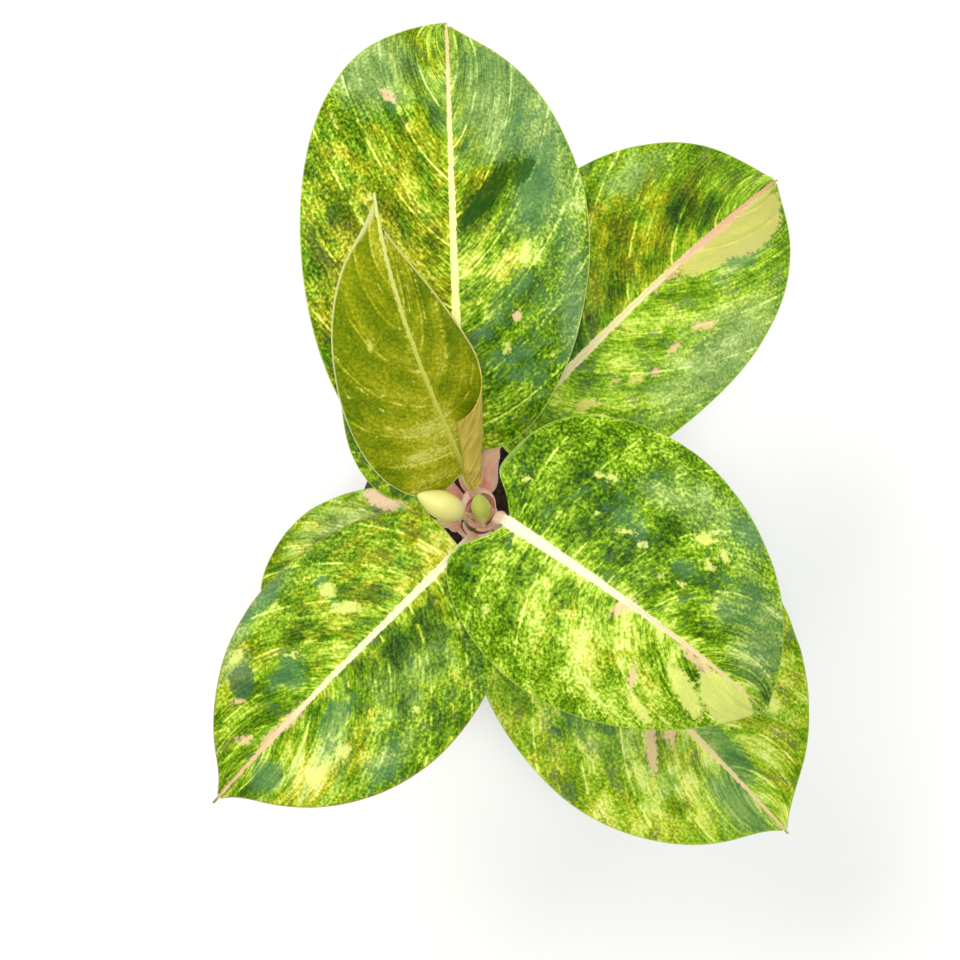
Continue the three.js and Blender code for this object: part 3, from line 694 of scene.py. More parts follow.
    # Cream and pink blotches: those listed one by one, and small scattered ones
    cells = add_node(
        tree, "ShaderNodeTexVoronoi", {"Vector": grain, "Scale": 1 / look["pitch"], "Randomness": 1.0}
    )
    cell_size = add_node(tree, "ShaderNodeSeparateXYZ", {0: cells.outputs["Color"]})
    cell_reach = add_node(
        tree, "ShaderNodeMapRange", {0: cell_size.outputs[0], 1: 0.55, 2: 1.0, 3: -0.1, 4: look["spots"]}
    )
    cell_depth = add_node(
        tree, "ShaderNodeMath", {0: cell_reach, 1: cells.outputs["Distance"]}, operation="SUBTRACT"
    )
    cell_mm = add_node(tree, "ShaderNodeMath", {0: cell_depth, 1: look["pitch"]}, operation="MULTIPLY")
    pale_depth = add_node(tree, "ShaderNodeMath", {0: cell_mm, 1: marked.outputs[1]}, operation="MAXIMUM")
    pale_level = add_node(
        tree, "ShaderNodeMath", {0: ragged, 1: 7.0, 2: pale_depth}, operation="MULTIPLY_ADD"
    )
    pale = add_node(tree, "ShaderNodeMapRange", {0: pale_level, 1: 3.0, 2: 4.2, 3: 0.0, 4: 0.78})
    cream = add_node(
        tree, "ShaderNodeMix", {0: marked.outputs[2], 6: linear(look["cream"]), 7: linear(look["pink"])},
        data_type="RGBA",
    ).outputs[2]
    colour = add_node(tree, "ShaderNodeMix", {0: pale, 6: colour, 7: cream}, data_type="RGBA").outputs[2]
    # The midrib's band of cream and pink
    along = add_node(tree, "ShaderNodeSeparateXYZ", {0: place})
    rib_share = add_node(
        tree, "ShaderNodeMath", {0: along.outputs[0], 1: leaf["length"] + leaf["cusp"]}, operation="DIVIDE"
    )
    lengthwise = add_node(
        tree, "ShaderNodeVectorMath", {0: place, 1: (0.12, 1.6, 1)}, operation="MULTIPLY"
    ).outputs[0]
    lines = add_node(tree, "ShaderNodeTexNoise", {"Vector": lengthwise, "Scale": 1.0, "Detail": 3})
    rib_start = add_node(tree, "ShaderNodeMath", {0: rib_share, 1: 0.25}, operation="SUBTRACT")
    rib_place = add_node(tree, "ShaderNodeMath", {0: lines, 1: 0.5, 2: rib_start}, operation="MULTIPLY_ADD")
    rib_colour = add_node(tree, "ShaderNodeValToRGB", {0: rib_place}, stops=look["rib"])
    rib_edge = add_node(
        tree, "ShaderNodeMapRange",
        {0: rib_share, 1: 0.0, 2: 0.9, 3: look["rib_edge"], 4: look["rib_end"]},
    )
    rib_mm = add_node(tree, "ShaderNodeMath", {0: depths.outputs[1], 1: rib_edge}, operation="SUBTRACT")
    rib_level = add_node(tree, "ShaderNodeMath", {0: ragged, 1: 2.0, 2: rib_mm}, operation="MULTIPLY_ADD")
    rib = add_node(tree, "ShaderNodeMapRange", {0: rib_level, 1: 0.8, 2: 1.3, 3: 0.97, 4: 0.0})
    colour = add_node(
        tree, "ShaderNodeMix", {0: rib, 6: colour, 7: rib_colour}, data_type="RGBA"
    ).outputs[2]
    # A thin margin of another colour
    edge = add_node(tree, "ShaderNodeMapRange", {0: depths.outputs[0], 1: 0.2, 2: 0.6, 3: 0.8, 4: 0.0})
    colour = add_node(
        tree, "ShaderNodeMix", {0: edge, 6: colour, 7: linear(look["margin"])}, data_type="RGBA"
    ).outputs[2]
    height = add_node(
        tree, "ShaderNodeMath", {0: clumps, 1: 2.0, 2: specks.outputs[0]}, operation="MULTIPLY_ADD"
    )
    bump = add_node(tree, "ShaderNodeBump", {"Strength": 0.25, "Distance": 0.00025, "Height": height})
    rough = add_node(tree, "ShaderNodeMapRange", {0: clumps, 1: 0.3, 2: 0.7, 3: 0.38, 4: 0.5})
    shader = add_node(tree, "ShaderNodeBsdfPrincipled", {
        "Base Color": colour, "Roughness": rough, "Normal": bump, "IOR": 1.45,
        "Specular IOR Level": look["gloss"],
    })
    add_node(tree, "ShaderNodeOutputMaterial", {0: shader})
    return material


def under_skin(name, look):
    """The dull underside: paler, with faint mottling and raised pale veins."""
    material, tree = new_material(name)
    depth = add_node(tree, "ShaderNodeAttribute", attribute_name="leaf_depth").outputs["Vector"]
    vein = add_node(tree, "ShaderNodeAttribute", attribute_name="leaf_vein").outputs["Vector"]
    depths = add_node(tree, "ShaderNodeSeparateXYZ", {0: depth})
    place = add_node(tree, "ShaderNodeAttribute", attribute_name="leaf_place").outputs["Vector"]
    drawn = add_node(
        tree, "ShaderNodeVectorMath", {0: place, 1: look["under_drawn"]}, operation="MULTIPLY"
    ).outputs[0]
    fine = add_node(
        tree, "ShaderNodeTexNoise", {"Vector": drawn, "Scale": 1 / 2.2, "Detail": 3, "Roughness": 0.65}
    )
    shades = add_node(tree, "ShaderNodeValToRGB", {0: fine}, stops=look["under"])
    vein_line = add_node(
        tree, "ShaderNodeMapRange",
        {0: vein_distance(tree, vein), 1: 0.3, 2: 0.9, 3: look["under_veins"], 4: 0.0},
    )
    colour = add_node(
        tree, "ShaderNodeMix", {0: vein_line, 6: shades, 7: linear(look["under_vein"])}, data_type="RGBA"
    ).outputs[2]
    rib = add_node(tree, "ShaderNodeMapRange", {0: depths.outputs[1], 1: -0.3, 2: 0.3, 3: 1.0, 4: 0.0})
    colour = add_node(
        tree, "ShaderNodeMix", {0: rib, 6: colour, 7: linear(look["under_rib"])}, data_type="RGBA"
    ).outputs[2]
    bump = add_node(tree, "ShaderNodeBump", {"Strength": 0.3, "Distance": 0.0003, "Height": fine})
    shader = add_node(
        tree, "ShaderNodeBsdfPrincipled", {"Base Color": colour, "Roughness": 0.6, "Normal": bump}
    )
    add_node(tree, "ShaderNodeOutputMaterial", {0: shader})
    return material


def stalk_skin(name, look):
    """Smooth, waxy pink stalk with faint streaks of paler and deeper pink along it, turning cream towards
    the blade.
    """
    material, tree = new_material(name)
    place = add_node(tree, "ShaderNodeAttribute", attribute_name="leaf_place").outputs["Vector"]
    grain = add_node(tree, "ShaderNodeAttribute", attribute_name="leaf_grain").outputs["Vector"]
    streaks = add_node(tree, "ShaderNodeTexNoise", {"Vector": grain, "Scale": 1.0, "Detail": 3})
    # The pinks are paler than the stalk's own salmon: painted light that stands in for the light the shaded
    # crown lacks
    shades = add_node(tree, "ShaderNodeValToRGB", {0: streaks}, stops=look["stalk"])
    parts = add_node(tree, "ShaderNodeSeparateXYZ", {0: place})
    near_blade = add_node(
        tree, "ShaderNodeMapRange", {0: parts.outputs[2], 1: 0.0, 2: 22.0, 3: 1.0, 4: 0.0}
    )
    colour = add_node(
        tree, "ShaderNodeMix", {0: near_blade, 6: shades, 7: linear(look["rib"][0][1])}, data_type="RGBA"
    ).outputs[2]
    bump = add_node(tree, "ShaderNodeBump", {"Strength": 0.2, "Distance": 0.0003, "Height": streaks})
    shader = add_node(
        tree, "ShaderNodeBsdfPrincipled", {"Base Color": colour, "Roughness": 0.4, "Normal": bump}
    )
    add_node(tree, "ShaderNodeOutputMaterial", {0: shader})
    return material


# Each blade's look. drawn: how far flecks are drawn out along the veins, at the midrib and 45 mm
# from it. weights: contrast of flecks, clumps and drifts. level: lightness. veins and glow: how
# much paler the side veins and the midrib's sides are. vein_gaps: how much of the side veins is
# hidden. gilt: how common the golden ground is. slate_at and slate_share: how common and how strong
# the slate patches are. pitch and spots: millimetres between the scattered cream spots, and their
# size as a share of that. rib_edge and rib_end: how far the midrib's band reaches past it at its
# foot and near its tip, in millimetres. gloss: the shine. sunlit, golden and the painted sheen ramp:
# colours from the dark ground to the palest flecks, the last made milky by a painted reflection of
# the soft lights. dark, cream and pink: the blotches. rib: the midrib's colours from foot to tip. The
# names that begin with under are the underside's.
DEFAULT_LOOK = dict(
    drawn=(0.6, 0.3), weights=(1.9, 0.18, 0.9), level=0.49, veins=0.3, vein_gaps=0.48, glow=0.1,
    gilt=0.48, slate_at=0.72, slate_share=0.55, spots=0.14, pitch=11, rib_edge=0.3, rib_end=0.1,
    gloss=0.1, sunlit=SUNLIT, golden=GOLDEN, bloomed=PAINTED_SHEEN_STOPS, slate="#4f7f50", dark="#365a40",
    cream="#e2e87c", pink="#ecca9c", margin="#9dba50",
    rib=((0.0, "#f7ecc4"), (0.35, "#f8f5b8"), (0.7, "#f0e6a6"), (1.0, "#e6d08e")),
    under=((0.3, "#6d8a44"), (0.5, "#8fae62"), (0.7, "#b3cc84")),
    under_vein="#c3d49a", under_rib="#e9c4a2", under_drawn=(1, 1, 1), under_veins=0.6,
    # stalk: pinks painted paler than the stalk's own, as painted light for the shaded crown
    stalk=((0.3, "#fab49a"), (0.5, "#ffc8b4"), (0.62, "#ffdacc"), (0.78, "#ffece6")),
)
LOOKS = {name: dict(DEFAULT_LOOK) for name in LEAVES}
LOOKS["leaf_north"].update(
    weights=(2.4, 0.17, 0.7), level=0.47, gilt=0.42, vein_gaps=0.43, veins=0.34, dark="#1e4a00",
    margin="#b5c672",
    rib=((0.0, "#eef09a"), (0.3, "#f0f2a0"), (0.55, "#f2efa4"), (0.8, "#ecd9a2"), (1.0, "#e8c898")),
)
LOOKS["leaf_northeast"].update(
    weights=(1.8, 0.13, 0.7), level=0.52, gilt=0.36, pink="#e6bd92", cream="#cdc66c",
    rib=((0.0, "#e8c2a0"), (0.2, "#e4d0a0"), (0.52, "#dfdca0"), (0.62, "#e0b494"), (1.0, "#d8a47e")),
)
LOOKS["leaf_southeast"].update(
    weights=(2.4, 0.15, 0.8), gilt=0.2, glow=0.2, rib_edge=0.5, rib_end=-0.5,
    rib=((0.0, "#f6e2cc"), (0.3, "#f8f0cc"), (0.42, "#f2dab4"), (0.7, "#ecd0a4"), (1.0, "#e8cc8c")),
)
LOOKS["leaf_southwest"].update(
    weights=(2.1, 0.17, 0.8), level=0.5, gilt=0.38, margin="#9c8454", rib_edge=-0.2, slate_share=0.6,
    rib=((0.0, "#f4eec8"), (0.5, "#f0eebc"), (0.62, "#f0dcb4"), (0.72, "#ecc8a2"), (1.0, "#dfb48a")),
)
LOOKS["leaf_south"].update(
    weights=(1.7, 0.15, 0.9), level=0.65, gilt=0.46, rib_edge=-0.1,
    rib=((0.0, "#f6f0c0"), (0.5, "#efe4b0"), (0.6, "#ecd2a4"), (1.0, "#e4cc94")),
)
LOOKS["leaf_west"].update(weights=(1.8, 0.18, 0.9), level=0.55, spots=0.1, pink="#f2cdb4")
LOOKS["leaf_northwest"].update(level=0.46)
LOOKS["leaf_young"].update(
    drawn=(0.3, 0.3), weights=(1.4, 0.08, 0.6), level=0.5, veins=0.24, pitch=4, gilt=0.0,
    vein_gaps=0.45, slate_at=0.2, spots=0.2, rib_edge=-1.2, cream="#dfe36a", margin="#dfe29a",
    rib=((0.0, "#cfd860"), (0.5, "#d0d85c"), (1.0, "#e4e690")),
    sunlit=(
        (0.0, "#405a02"), (0.2, "#587202"), (0.4, "#738705"), (0.55, "#8d990a"), (0.75, "#b3b41e"),
        (1.0, "#dedf70"),
    ),
    bloomed=((0.0, "#56700c"), (0.3, "#758b16"), (0.6, "#9cab30"), (1.0, "#dfe48a")),
    under=((0.3, "#a38a2c"), (0.45, "#c2aa40"), (0.55, "#d2bc50"), (0.7, "#e6d474")),
    under_vein="#a8932c", under_rib="#dccb70", under_drawn=(0.12, 1.8, 1), under_veins=0.06,
)

# Broad fields of tone on each blade, by millimetres along the midrib and across it, left of it
# positive: along, across, reach along, reach across, and what they add to light, to the painted
# sheen of reflected light, and to the slate patches, which are partly painted sheen too.
TONES = {
    "leaf_north": (
        (183, 36, 24, 18, 0.08, 0.9, 0), (164, 25, 9, 6, 0, 0, 0.3),
        (168, -32, 46, 34, 0, 0.9, 0.05),
        (125, -38, 22, 12, 0, 0.3, 0.34), (108, -56, 16, 6, 0.3, 0.2, 0), (110, -8, 10, 7, -0.2, -0.3, 0),
        (124, -20, 10, 9, -0.24, -0.5, -0.2), (134, -34, 9, 9, -0.2, -0.5, -0.2),
        (89, -18, 6, 18, 0.3, -0.3, 0), (50, -26, 28, 22, -0.1, -0.3, 0.1),
        (84, -18, 5, 9, 0.3, -0.2, -0.2), (92, -31, 6, 8, 0.34, -0.2, -0.2),
        (70, -34, 40, 22, 0, 0.2, 0.12), (62, -56, 30, 7, 0, 0.8, 0.2),
        (90, 30, 60, 30, 0.03, -0.5, -0.2),
    ),
    "leaf_northeast": (
        (149, 19, 14, 10, -0.28, 0, 0), (55, 10, 30, 12, -0.3, 0, 0), (137, 44, 26, 12, 0.04, 0.6, 0),
        (110, -48, 46, 16, 0, 0.7, 0), (125, 14, 40, 14, -0.12, 0, 0),
        (105, -26, 50, 26, 0.14, 0.1, 0), (152, -17, 14, 5, -0.1, 0.6, 0.5),
        (110, 25, 50, 25, -0.03, -0.3, -0.2),
    ),
    "leaf_southeast": (
        (30, 34, 26, 20, -0.12, -0.4, 0), (62, 26, 22, 14, -0.08, -0.1, 0.02),
        (45, 46, 16, 10, 0, 0.4, 0.1), (70, 56, 30, 12, 0.14, 0.5, 0), (50, 31, 12, 6, 0, 0.2, 0.26),
        (97, 60, 12, 6, 0, 0.4, 0.3), (118, 34, 30, 14, 0, 0.5, 0.1), (134, 15, 18, 12, 0, 0.6, 0.12),
        (70, -26, 44, 20, 0.32, -0.5, -0.3),
        (60, 25, 18, 3, -0.14, 0, 0), (84, 28, 8, 3, -0.1, 0, 0.2), (104, 22, 6, 5, 0, 0.2, 0.3),
        (92, -44, 34, 7, 0.12, 0.2, 0),
    ),
    "leaf_southwest": (
        (55, -22, 40, 22, 0.02, -0.5, -0.1), (100, -16, 10, 7, -0.14, 0.2, 0.34),
        (90, -50, 30, 6, -0.05, 0.7, 0.2),
        (115, -38, 14, 10, 0.12, 0.6, -0.2), (58, -36, 4, 3, 0, 0, 0.4), (60, -23, 3, 3, 0, 0, 0.4),
        (60, 26, 34, 22, 0, 0.3, 0), (96, 14, 12, 5, 0, 0, 0.4), (110, 22, 8, 6, 0, 0.2, 0.4),
        (142, 11, 9, 8, 0, 0.2, 0.5), (96, 46, 16, 7, 0, 0.4, 0.24), (122, 26, 26, 12, 0.42, 0.3, -0.3),
        (98, 17, 6, 4, 0, 0, 0.26), (98, -14, 5, 4, 0, 0, 0.3), (50, 14, 34, 9, -0.18, 0, 0),
        (8, 0, 14, 26, 0.16, 0.2, -0.2),
    ),
    "leaf_south": (
        (80, -30, 30, 16, -0.06, 0.1, 0.14), (60, 10, 40, 60, -0.12, 0, 0),
        (120, -20, 50, 26, 0.08, 0.2, 0), (136, 6, 24, 5, -0.1, 0.3, 0.46),
        (168, -8, 20, 8, -0.06, 0.3, 0.4), (138, 38, 26, 14, 0.1, 0.1, 0),
    ),
    "leaf_west": ((40, -18, 30, 14, 0.06, 0.7, 0), (60, 10, 40, 20, -0.1, 0, 0)),
    "leaf_northwest": ((60, 20, 60, 30, 0, 0.5, 0.1),),
    "leaf_young": (
        (30, 12, 34, 15, 0.34, -0.3, 0), (60, 36, 50, 10, -0.12, 0, 0), (105, 0, 40, 40, -0.08, 0, 0),
    ),
}
# Blotches with sharp ragged edges: kind, along, across, length, width, angle from the midrib
BLOTCHES = {
    "leaf_north": (
        ("dark", 155, 22, 7, 6, 0), ("dark", 121, -17, 44, 9, -40), ("dark", 131, -33, 18, 8, -40),
        ("dark", 112, 54, 9, 7, -30), ("pink", 167, 28, 9, 5, 40), ("cream", 96, -33, 6, 4, -50),
        ("cream", 49, -23, 6, 4, 0), ("pink", 64, -28, 6, 5, 0), ("cream", 92, -24, 4, 3, -40),
        ("cream", 118, 38, 5, 3, 40), ("cream", 88, 22, 4, 2.5, 30),
    ),
    "leaf_northeast": (
        ("cream", 148, -9, 60, 14, -8), ("cream", 166, -11, 46, 20, 0), ("cream", 182, -7, 26, 15, 6),
        ("pink", 152, -2, 80, 5, 0), ("pink", 92, -28, 6, 4, 0), ("pink", 78, -30, 5, 4, 0),
        ("cream", 68, -26, 8, 4, -20),
        ("cream", 43, -18, 12, 5, -30), ("pink", 111, -30, 12, 4, -30), ("cream", 60, -20, 5, 3, 0),
    ),
    "leaf_southeast": (
        ("cream", 24, 41, 4, 3, 0), ("cream", 30, 43, 6, 4.5, 20), ("cream", -2, 21, 4, 3, 0),
        ("cream", 47, 25, 5, 3, 30), ("cream", 51, 27, 4, 3, 30), ("cream", 58, 25, 5, 4, 50),
        ("cream", 79, 44, 9, 6, 20), ("cream", 90, 43, 8, 4, -20), ("cream", 87, 35, 6, 4, 0),
        ("cream", 72, 18, 4, 3, 0), ("cream", 82, 21, 4, 2.5, 0), ("cream", 100, 22, 4, 3, 0),
        ("pink", 66, -3, 5, 14, -20), ("pink", 89, -26, 14, 4, -60), ("cream", 138, -9, 48, 19, -6),
        ("cream", 114, -17, 34, 9, -20), ("pink", 112, -3, 30, 4, -4), ("pink", 148, -6, 16, 5, 0),
        ("dark", 8, -9, 12, 1.8, -62), ("cream", 102, -36, 20, 5, -14),
    ),
    "leaf_southwest": (
        ("dark", 118, -29, 17, 13, 40), ("cream", 59, -30, 9, 7, -50), ("cream", 58, -18, 15, 5.5, -40),
        ("cream", 91, -20, 6, 3, -40), ("pink", 114, 0, 20, 5, 0), ("pink", 127, -1, 16, 5, 0),
        ("pink", 137, -9, 9, 4, -40), ("pink", 126, -24, 7, 3, -40), ("cream", 112, -39, 9, 5, 0),
        ("cream", 82, -43, 5, 3, 0), ("cream", 68, 39, 4, 4, 0), ("cream", 106, 29, 9, 5, 20),
        ("cream", 122, 28, 16, 6, 10),
    ),
    "leaf_south": (
        ("dark", 74, -46, 6, 4, 0), ("pink", 112, -19, 30, 6, -38),
        ("pink", 112, -6, 20, 6, -40), ("cream", 128, -1, 30, 3, 0),
        ("cream", 140, 38, 16, 6, 20),
    ),
    "leaf_west": (("pink", 16, -24, 20, 11, -50), ("cream", 34, -20, 6, 3, -20)),
    "leaf_northwest": (("cream", 40, 20, 6, 4, 0),),
    "leaf_young": (("cream", 95, 17, 4.5, 3, 0), ("cream", 70, 20, 2.5, 2, 0), ("cream", 52, 24, 3, 2, 0)),
}

# FAR is well outside a blotch or in from the margin, in millimetres. SEED_STEP sets each leaf's
# pattern apart from the others'. The vein shade is painted light and shade of the quilted relief:
# how much lighter than the ground one side of a side vein is, and how much darker the other.
FAR = 9.0
SEED_STEP = 31.7
PAINTED_VEIN_SHADE = 0.1


def leaf_piece(name):
    """One leaf, with its blade, midrib, stalk and sheath in one closed mesh and three materials."""
    leaf = {**LEAF_SHAPE, **LEAVES[name]}
    blade_top, blade_bottom, facts = blade(leaf)
    stalk_top, stalk_bottom, stalk_facts = stalk(leaf)
    top = np.concatenate([stalk_top, blade_top])
    bottom = np.concatenate([stalk_bottom, blade_bottom])
    rings = np.concatenate([top, bottom[:, ::-1]], axis=1)
    half = top.shape[1]

    def both(values):
        return np.concatenate([values, values[:, ::-1]], axis=1)

    def whole(stalk_values, blade_values):
        return both(np.concatenate([stalk_values, blade_values]))

    zero = np.zeros(stalk_top.shape[:2])
    seed = leaf["seed"] * SEED_STEP
    length = stalk_facts["rise"][-1, 0] + 3
    light, bloom, slate = tone_fields(name, facts["along"], facts["across"])
    # Painted light and shade of the quilted relief: lighter on one side of each side vein, darker on the
    # other
    light = light + PAINTED_VEIN_SHADE * facts["shade"]
    dark, pale, pink = blotch_fields(name, facts["along"], facts["across"])
    attributes = {
        # Millimetres along and across the blade, and down the stalk from it
        "leaf_place": np.stack([
            whole(zero, facts["along"]),
            whole(zero, facts["across"]),
            whole(length - stalk_facts["rise"], 0 * facts["along"]),
        ], -1),
        # Where the flecks are looked up: along the leaf, out from the midrib, and the leaf's own seed
        "leaf_grain": np.stack([
            whole(stalk_facts["turned"] * 3, facts["grain"]),
            whole(stalk_facts["rise"] * 0.08, facts["across"] * 0.7),
            np.full(rings.shape[:2], seed),
        ], -1),
        # Millimetres in from the margin, and out from the midrib
        "leaf_depth": np.stack([
            whole(zero + FAR, facts["edge"]),
            whole(zero - 2, facts["rib"]),
            whole(zero, 0 * facts["rib"]),
        ], -1),
        # The side veins counted from the base, and the room between them in millimetres
        "leaf_vein": np.stack([
            whole(zero + 0.5, facts["number"]),
            whole(zero + 20, facts["gap"]),
            whole(zero, 0 * facts["gap"]),
        ], -1),
        # Depth inside the dark and the pale blotches, and how pink the pale ones are
        "leaf_marks": np.stack([whole(zero - FAR, dark), whole(zero - FAR, pale), whole(zero, pink)], -1),
        # Light, painted sheen and slate from the fields of tone; the light also holds the painted light and
        # shade beside the side veins
        "leaf_tone": np.stack([whole(zero, light), whole(zero, bloom), whole(zero, slate)], -1),
    }
    # Each face's material: 0 the blade's upper face, 1 its underside, 2 the stalk
    kinds = np.zeros((rings.shape[0] - 1, rings.shape[1]), int)
    kinds[:, half - 1 :] = 1
    kinds[: STALK_ROWS - 1] = 2
    mesh = closed_mesh(name, rings, kinds, attributes)
    piece = linked(name.replace("leaf", "blade"), mesh)
    look = LOOKS[name]
    mesh.materials.append(blade_skin(name + "_upper_skin", leaf, look))
    mesh.materials.append(under_skin(name + "_under_skin", look))
    mesh.materials.append(stalk_skin(name + "_stalk_skin", look))
    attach(piece, "root")
    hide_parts(name)


def tone_fields(name, along, across):
    """What the leaf's fields of tone add to light, to the painted sheen and to the slate at each point."""
    added = np.zeros((3, *along.shape))
    for at, out, reach_along, reach_across, *adds in TONES[name]:
        fall = np.exp(-(((along - at) / reach_along) ** 2) - ((across - out) / reach_across) ** 2)
        added += np.array(adds)[:, None, None] * fall
    return added


def blotch_fields(name, along, across):
    """Depth inside the nearest dark and pale blotch in millimetres, and how pink the pale one is."""
    dark, pale = np.full(along.shape, -FAR), np.full(along.shape, -FAR)
    pink = np.zeros(along.shape)
    for kind, at, out, length, width, angle in BLOTCHES[name]:
        turn = angle * DEG
        ahead = (along - at) * math.cos(turn) + (across - out) * math.sin(turn)
        aside = (across - out) * math.cos(turn) - (along - at) * math.sin(turn)
        reach = np.hypot(ahead / (length / 2), aside / (width / 2))
        depth = np.clip((1 - reach) * min(length, width) / 2, -FAR, FAR)
        if kind == "dark":
            dark = np.maximum(dark, depth)
        else:
            pink = np.where(depth > pale, 1.0 if kind == "pink" else 0.0, pink)
            pale = np.maximum(pale, depth)
    return dark, pale, pink


for leaf_name in LEAVES:
    leaf_piece(leaf_name)

TURN_SECTORS = 160


def rounded(profile, radius, steps=4):
    """Rounds the corners of a profile of radius and height. The two ends stay."""
    points = np.array(profile, float)
    out = [points[0]]
    for before, corner, after in zip(points, points[1:], points[2:]):
        ends = []
        for other in (before, after):
            run = np.linalg.norm(other - corner)
            ends.append(mix(corner, other, min(radius, 0.45 * run) / run))
        for t in np.linspace(0, 1, steps):
            out.append(ends[0] * (1 - t) ** 2 + 2 * corner * t * (1 - t) + ends[1] * t**2)
    out.append(points[-1])
    return np.array(out)


def ring_at(radius, height, sectors=TURN_SECTORS):
    turn = np.arange(sectors) / sectors * 2 * math.pi
    parts = np.broadcast_arrays(radius * np.cos(turn), radius * np.sin(turn), height)
    return np.stack(parts, -1)


def turned_mesh(name, rings):
    rings = np.array(rings)
    return closed_mesh(name, rings, np.zeros((len(rings) - 1, rings.shape[1]), int), {}, False)


def finish_piece(name, mesh, material, slot, *nodes):
    """Gives a mesh its material, and says which body and nodes of the solids it stands for. The slot is not
    used.
    """
    piece = linked(name, mesh)
    mesh.materials.clear()
    mesh.materials.append(material)
    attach(piece, "root")
    if nodes:
        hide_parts(*nodes)


def pot_outer(z):
    return mix(POT_BASE_RADIUS, POT_RIM_RADIUS - RIM_STEP, z / POT_HEIGHT)


def pot_inner(z):
    return pot_outer(z) - POT_WALL


def pot_skin():
    """Injection-moulded polypropylene, charcoal: a fine matt grain, faint flow marks and scuffs."""
    material, tree = new_material("charcoal_moulded_polypropylene")
    place = add_node(tree, "ShaderNodeTexCoord").outputs["Object"]
    grain = add_node(tree, "ShaderNodeTexNoise", {"Vector": place, "Scale": 1 / (0.5 * MM), "Detail": 2})
    broad = add_node(tree, "ShaderNodeTexNoise", {"Vector": place, "Scale": 1 / (28 * MM), "Detail": 4})
    stretched = add_node(tree, "ShaderNodeMapping", {"Vector": place, "Scale": (0.12, 0.12, 1.0)})
    scuff = add_node(
        tree, "ShaderNodeTexNoise",
        {"Vector": stretched, "Scale": 1 / (1.6 * MM), "Detail": 3, "Roughness": 0.75},
    )
    shades = add_node(
        tree, "ShaderNodeValToRGB", {0: broad},
        stops=((0.3, "#242426"), (0.5, "#2c2c2e"), (0.72, "#37373a")),
    )
    worn = add_node(tree, "ShaderNodeMapRange", {0: scuff, 1: 0.64, 2: 0.78, 3: 0.0, 4: 0.45})
    colour = add_node(
        tree, "ShaderNodeMix", {0: worn, 6: shades, 7: linear("#5b5b5c")}, data_type="RGBA"
    ).outputs[2]
    rough = add_node(tree, "ShaderNodeMapRange", {0: broad, 1: 0.3, 2: 0.7, 3: 0.5, 4: 0.68})
    bump = add_node(tree, "ShaderNodeBump", {"Strength": 0.35, "Distance": 0.0001, "Height": grain})
    shader = add_node(
        tree, "ShaderNodeBsdfPrincipled", {"Base Color": colour, "Roughness": rough, "Normal": bump}
    )
    add_node(tree, "ShaderNodeOutputMaterial", {0: shader})
    return material


def make_pot():
    band_foot = POT_HEIGHT - RIM_BAND_HEIGHT
    foot_inner = POT_BASE_RADIUS - FOOT_RING_WIDTH
    profile = rounded([
        (0, 0),
        (PAD_RADIUS, 0),
        (PAD_RADIUS + 1, FLOOR_RECESS),
        (foot_inner - 1, FLOOR_RECESS),
        (foot_inner, 0),
        (POT_BASE_RADIUS - 1, 0),
        (POT_BASE_RADIUS, 1),
        (pot_outer(band_foot - 1.5), band_foot - 1.5),
        (pot_outer(band_foot) + 0.4, band_foot),
        (POT_RIM_RADIUS - 0.8, band_foot + 0.4),
        (POT_RIM_RADIUS - 0.2, POT_HEIGHT - 3.2),
        (POT_RIM_RADIUS, POT_HEIGHT - 2.6),
        (POT_RIM_RADIUS, POT_HEIGHT),
        (pot_inner(POT_HEIGHT), POT_HEIGHT),
        (pot_inner(FLOOR_TOP), FLOOR_TOP),
        (0, FLOOR_TOP),
    ], 0.8)
    mesh = turned_mesh("pot_shell", [ring_at(radius, height) for radius, height in profile])
    shell = linked("pot_shell", mesh)
    drills = bmesh.new()
    for k in range(DRAIN_HOLES):
        angle = (k + 0.5) * 2 * math.pi / DRAIN_HOLES
        made = bmesh.ops.create_cone(
            drills, cap_ends=True, segments=40, radius1=DRAIN_HOLE_RADIUS * MM,
            radius2=DRAIN_HOLE_RADIUS * MM, depth=4 * FLOOR_TOP * MM,
        )
        place = Vector((math.cos(angle), math.sin(angle), 0)) * DRAIN_CIRCLE_RADIUS * MM
        bmesh.ops.translate(drills, verts=made["verts"], vec=place)
    drill_mesh = bpy.data.meshes.new("drills")
    drills.to_mesh(drill_mesh)
    drills.free()
    drill = linked("drills", drill_mesh)
    cut = shell.modifiers.new("drain_holes", "BOOLEAN")
    cut.operation = "DIFFERENCE"
    cut.object = drill
    cut.solver = "EXACT"
    bpy.context.view_layer.update()
    evaluated = shell.evaluated_get(bpy.context.evaluated_depsgraph_get())
    cut_mesh = bpy.data.meshes.new_from_object(evaluated)
    bpy.data.objects.remove(shell)
    bpy.data.objects.remove(drill)
    cut_mesh.shade_smooth()
    cut_mesh.set_sharp_from_angle(angle=35 * DEG)
    finish_piece("moulded_pot", cut_mesh, pot_skin(), "pot", "pot")


def soil_height(x, y):
    broad = np.sin(x / 7 + 1) * np.cos(y / 6)
    fine = np.sin(x / 3.1 + y / 4.3) * 0.5
    return SOIL_TOP + SOIL_ROUGHNESS * (broad + fine)


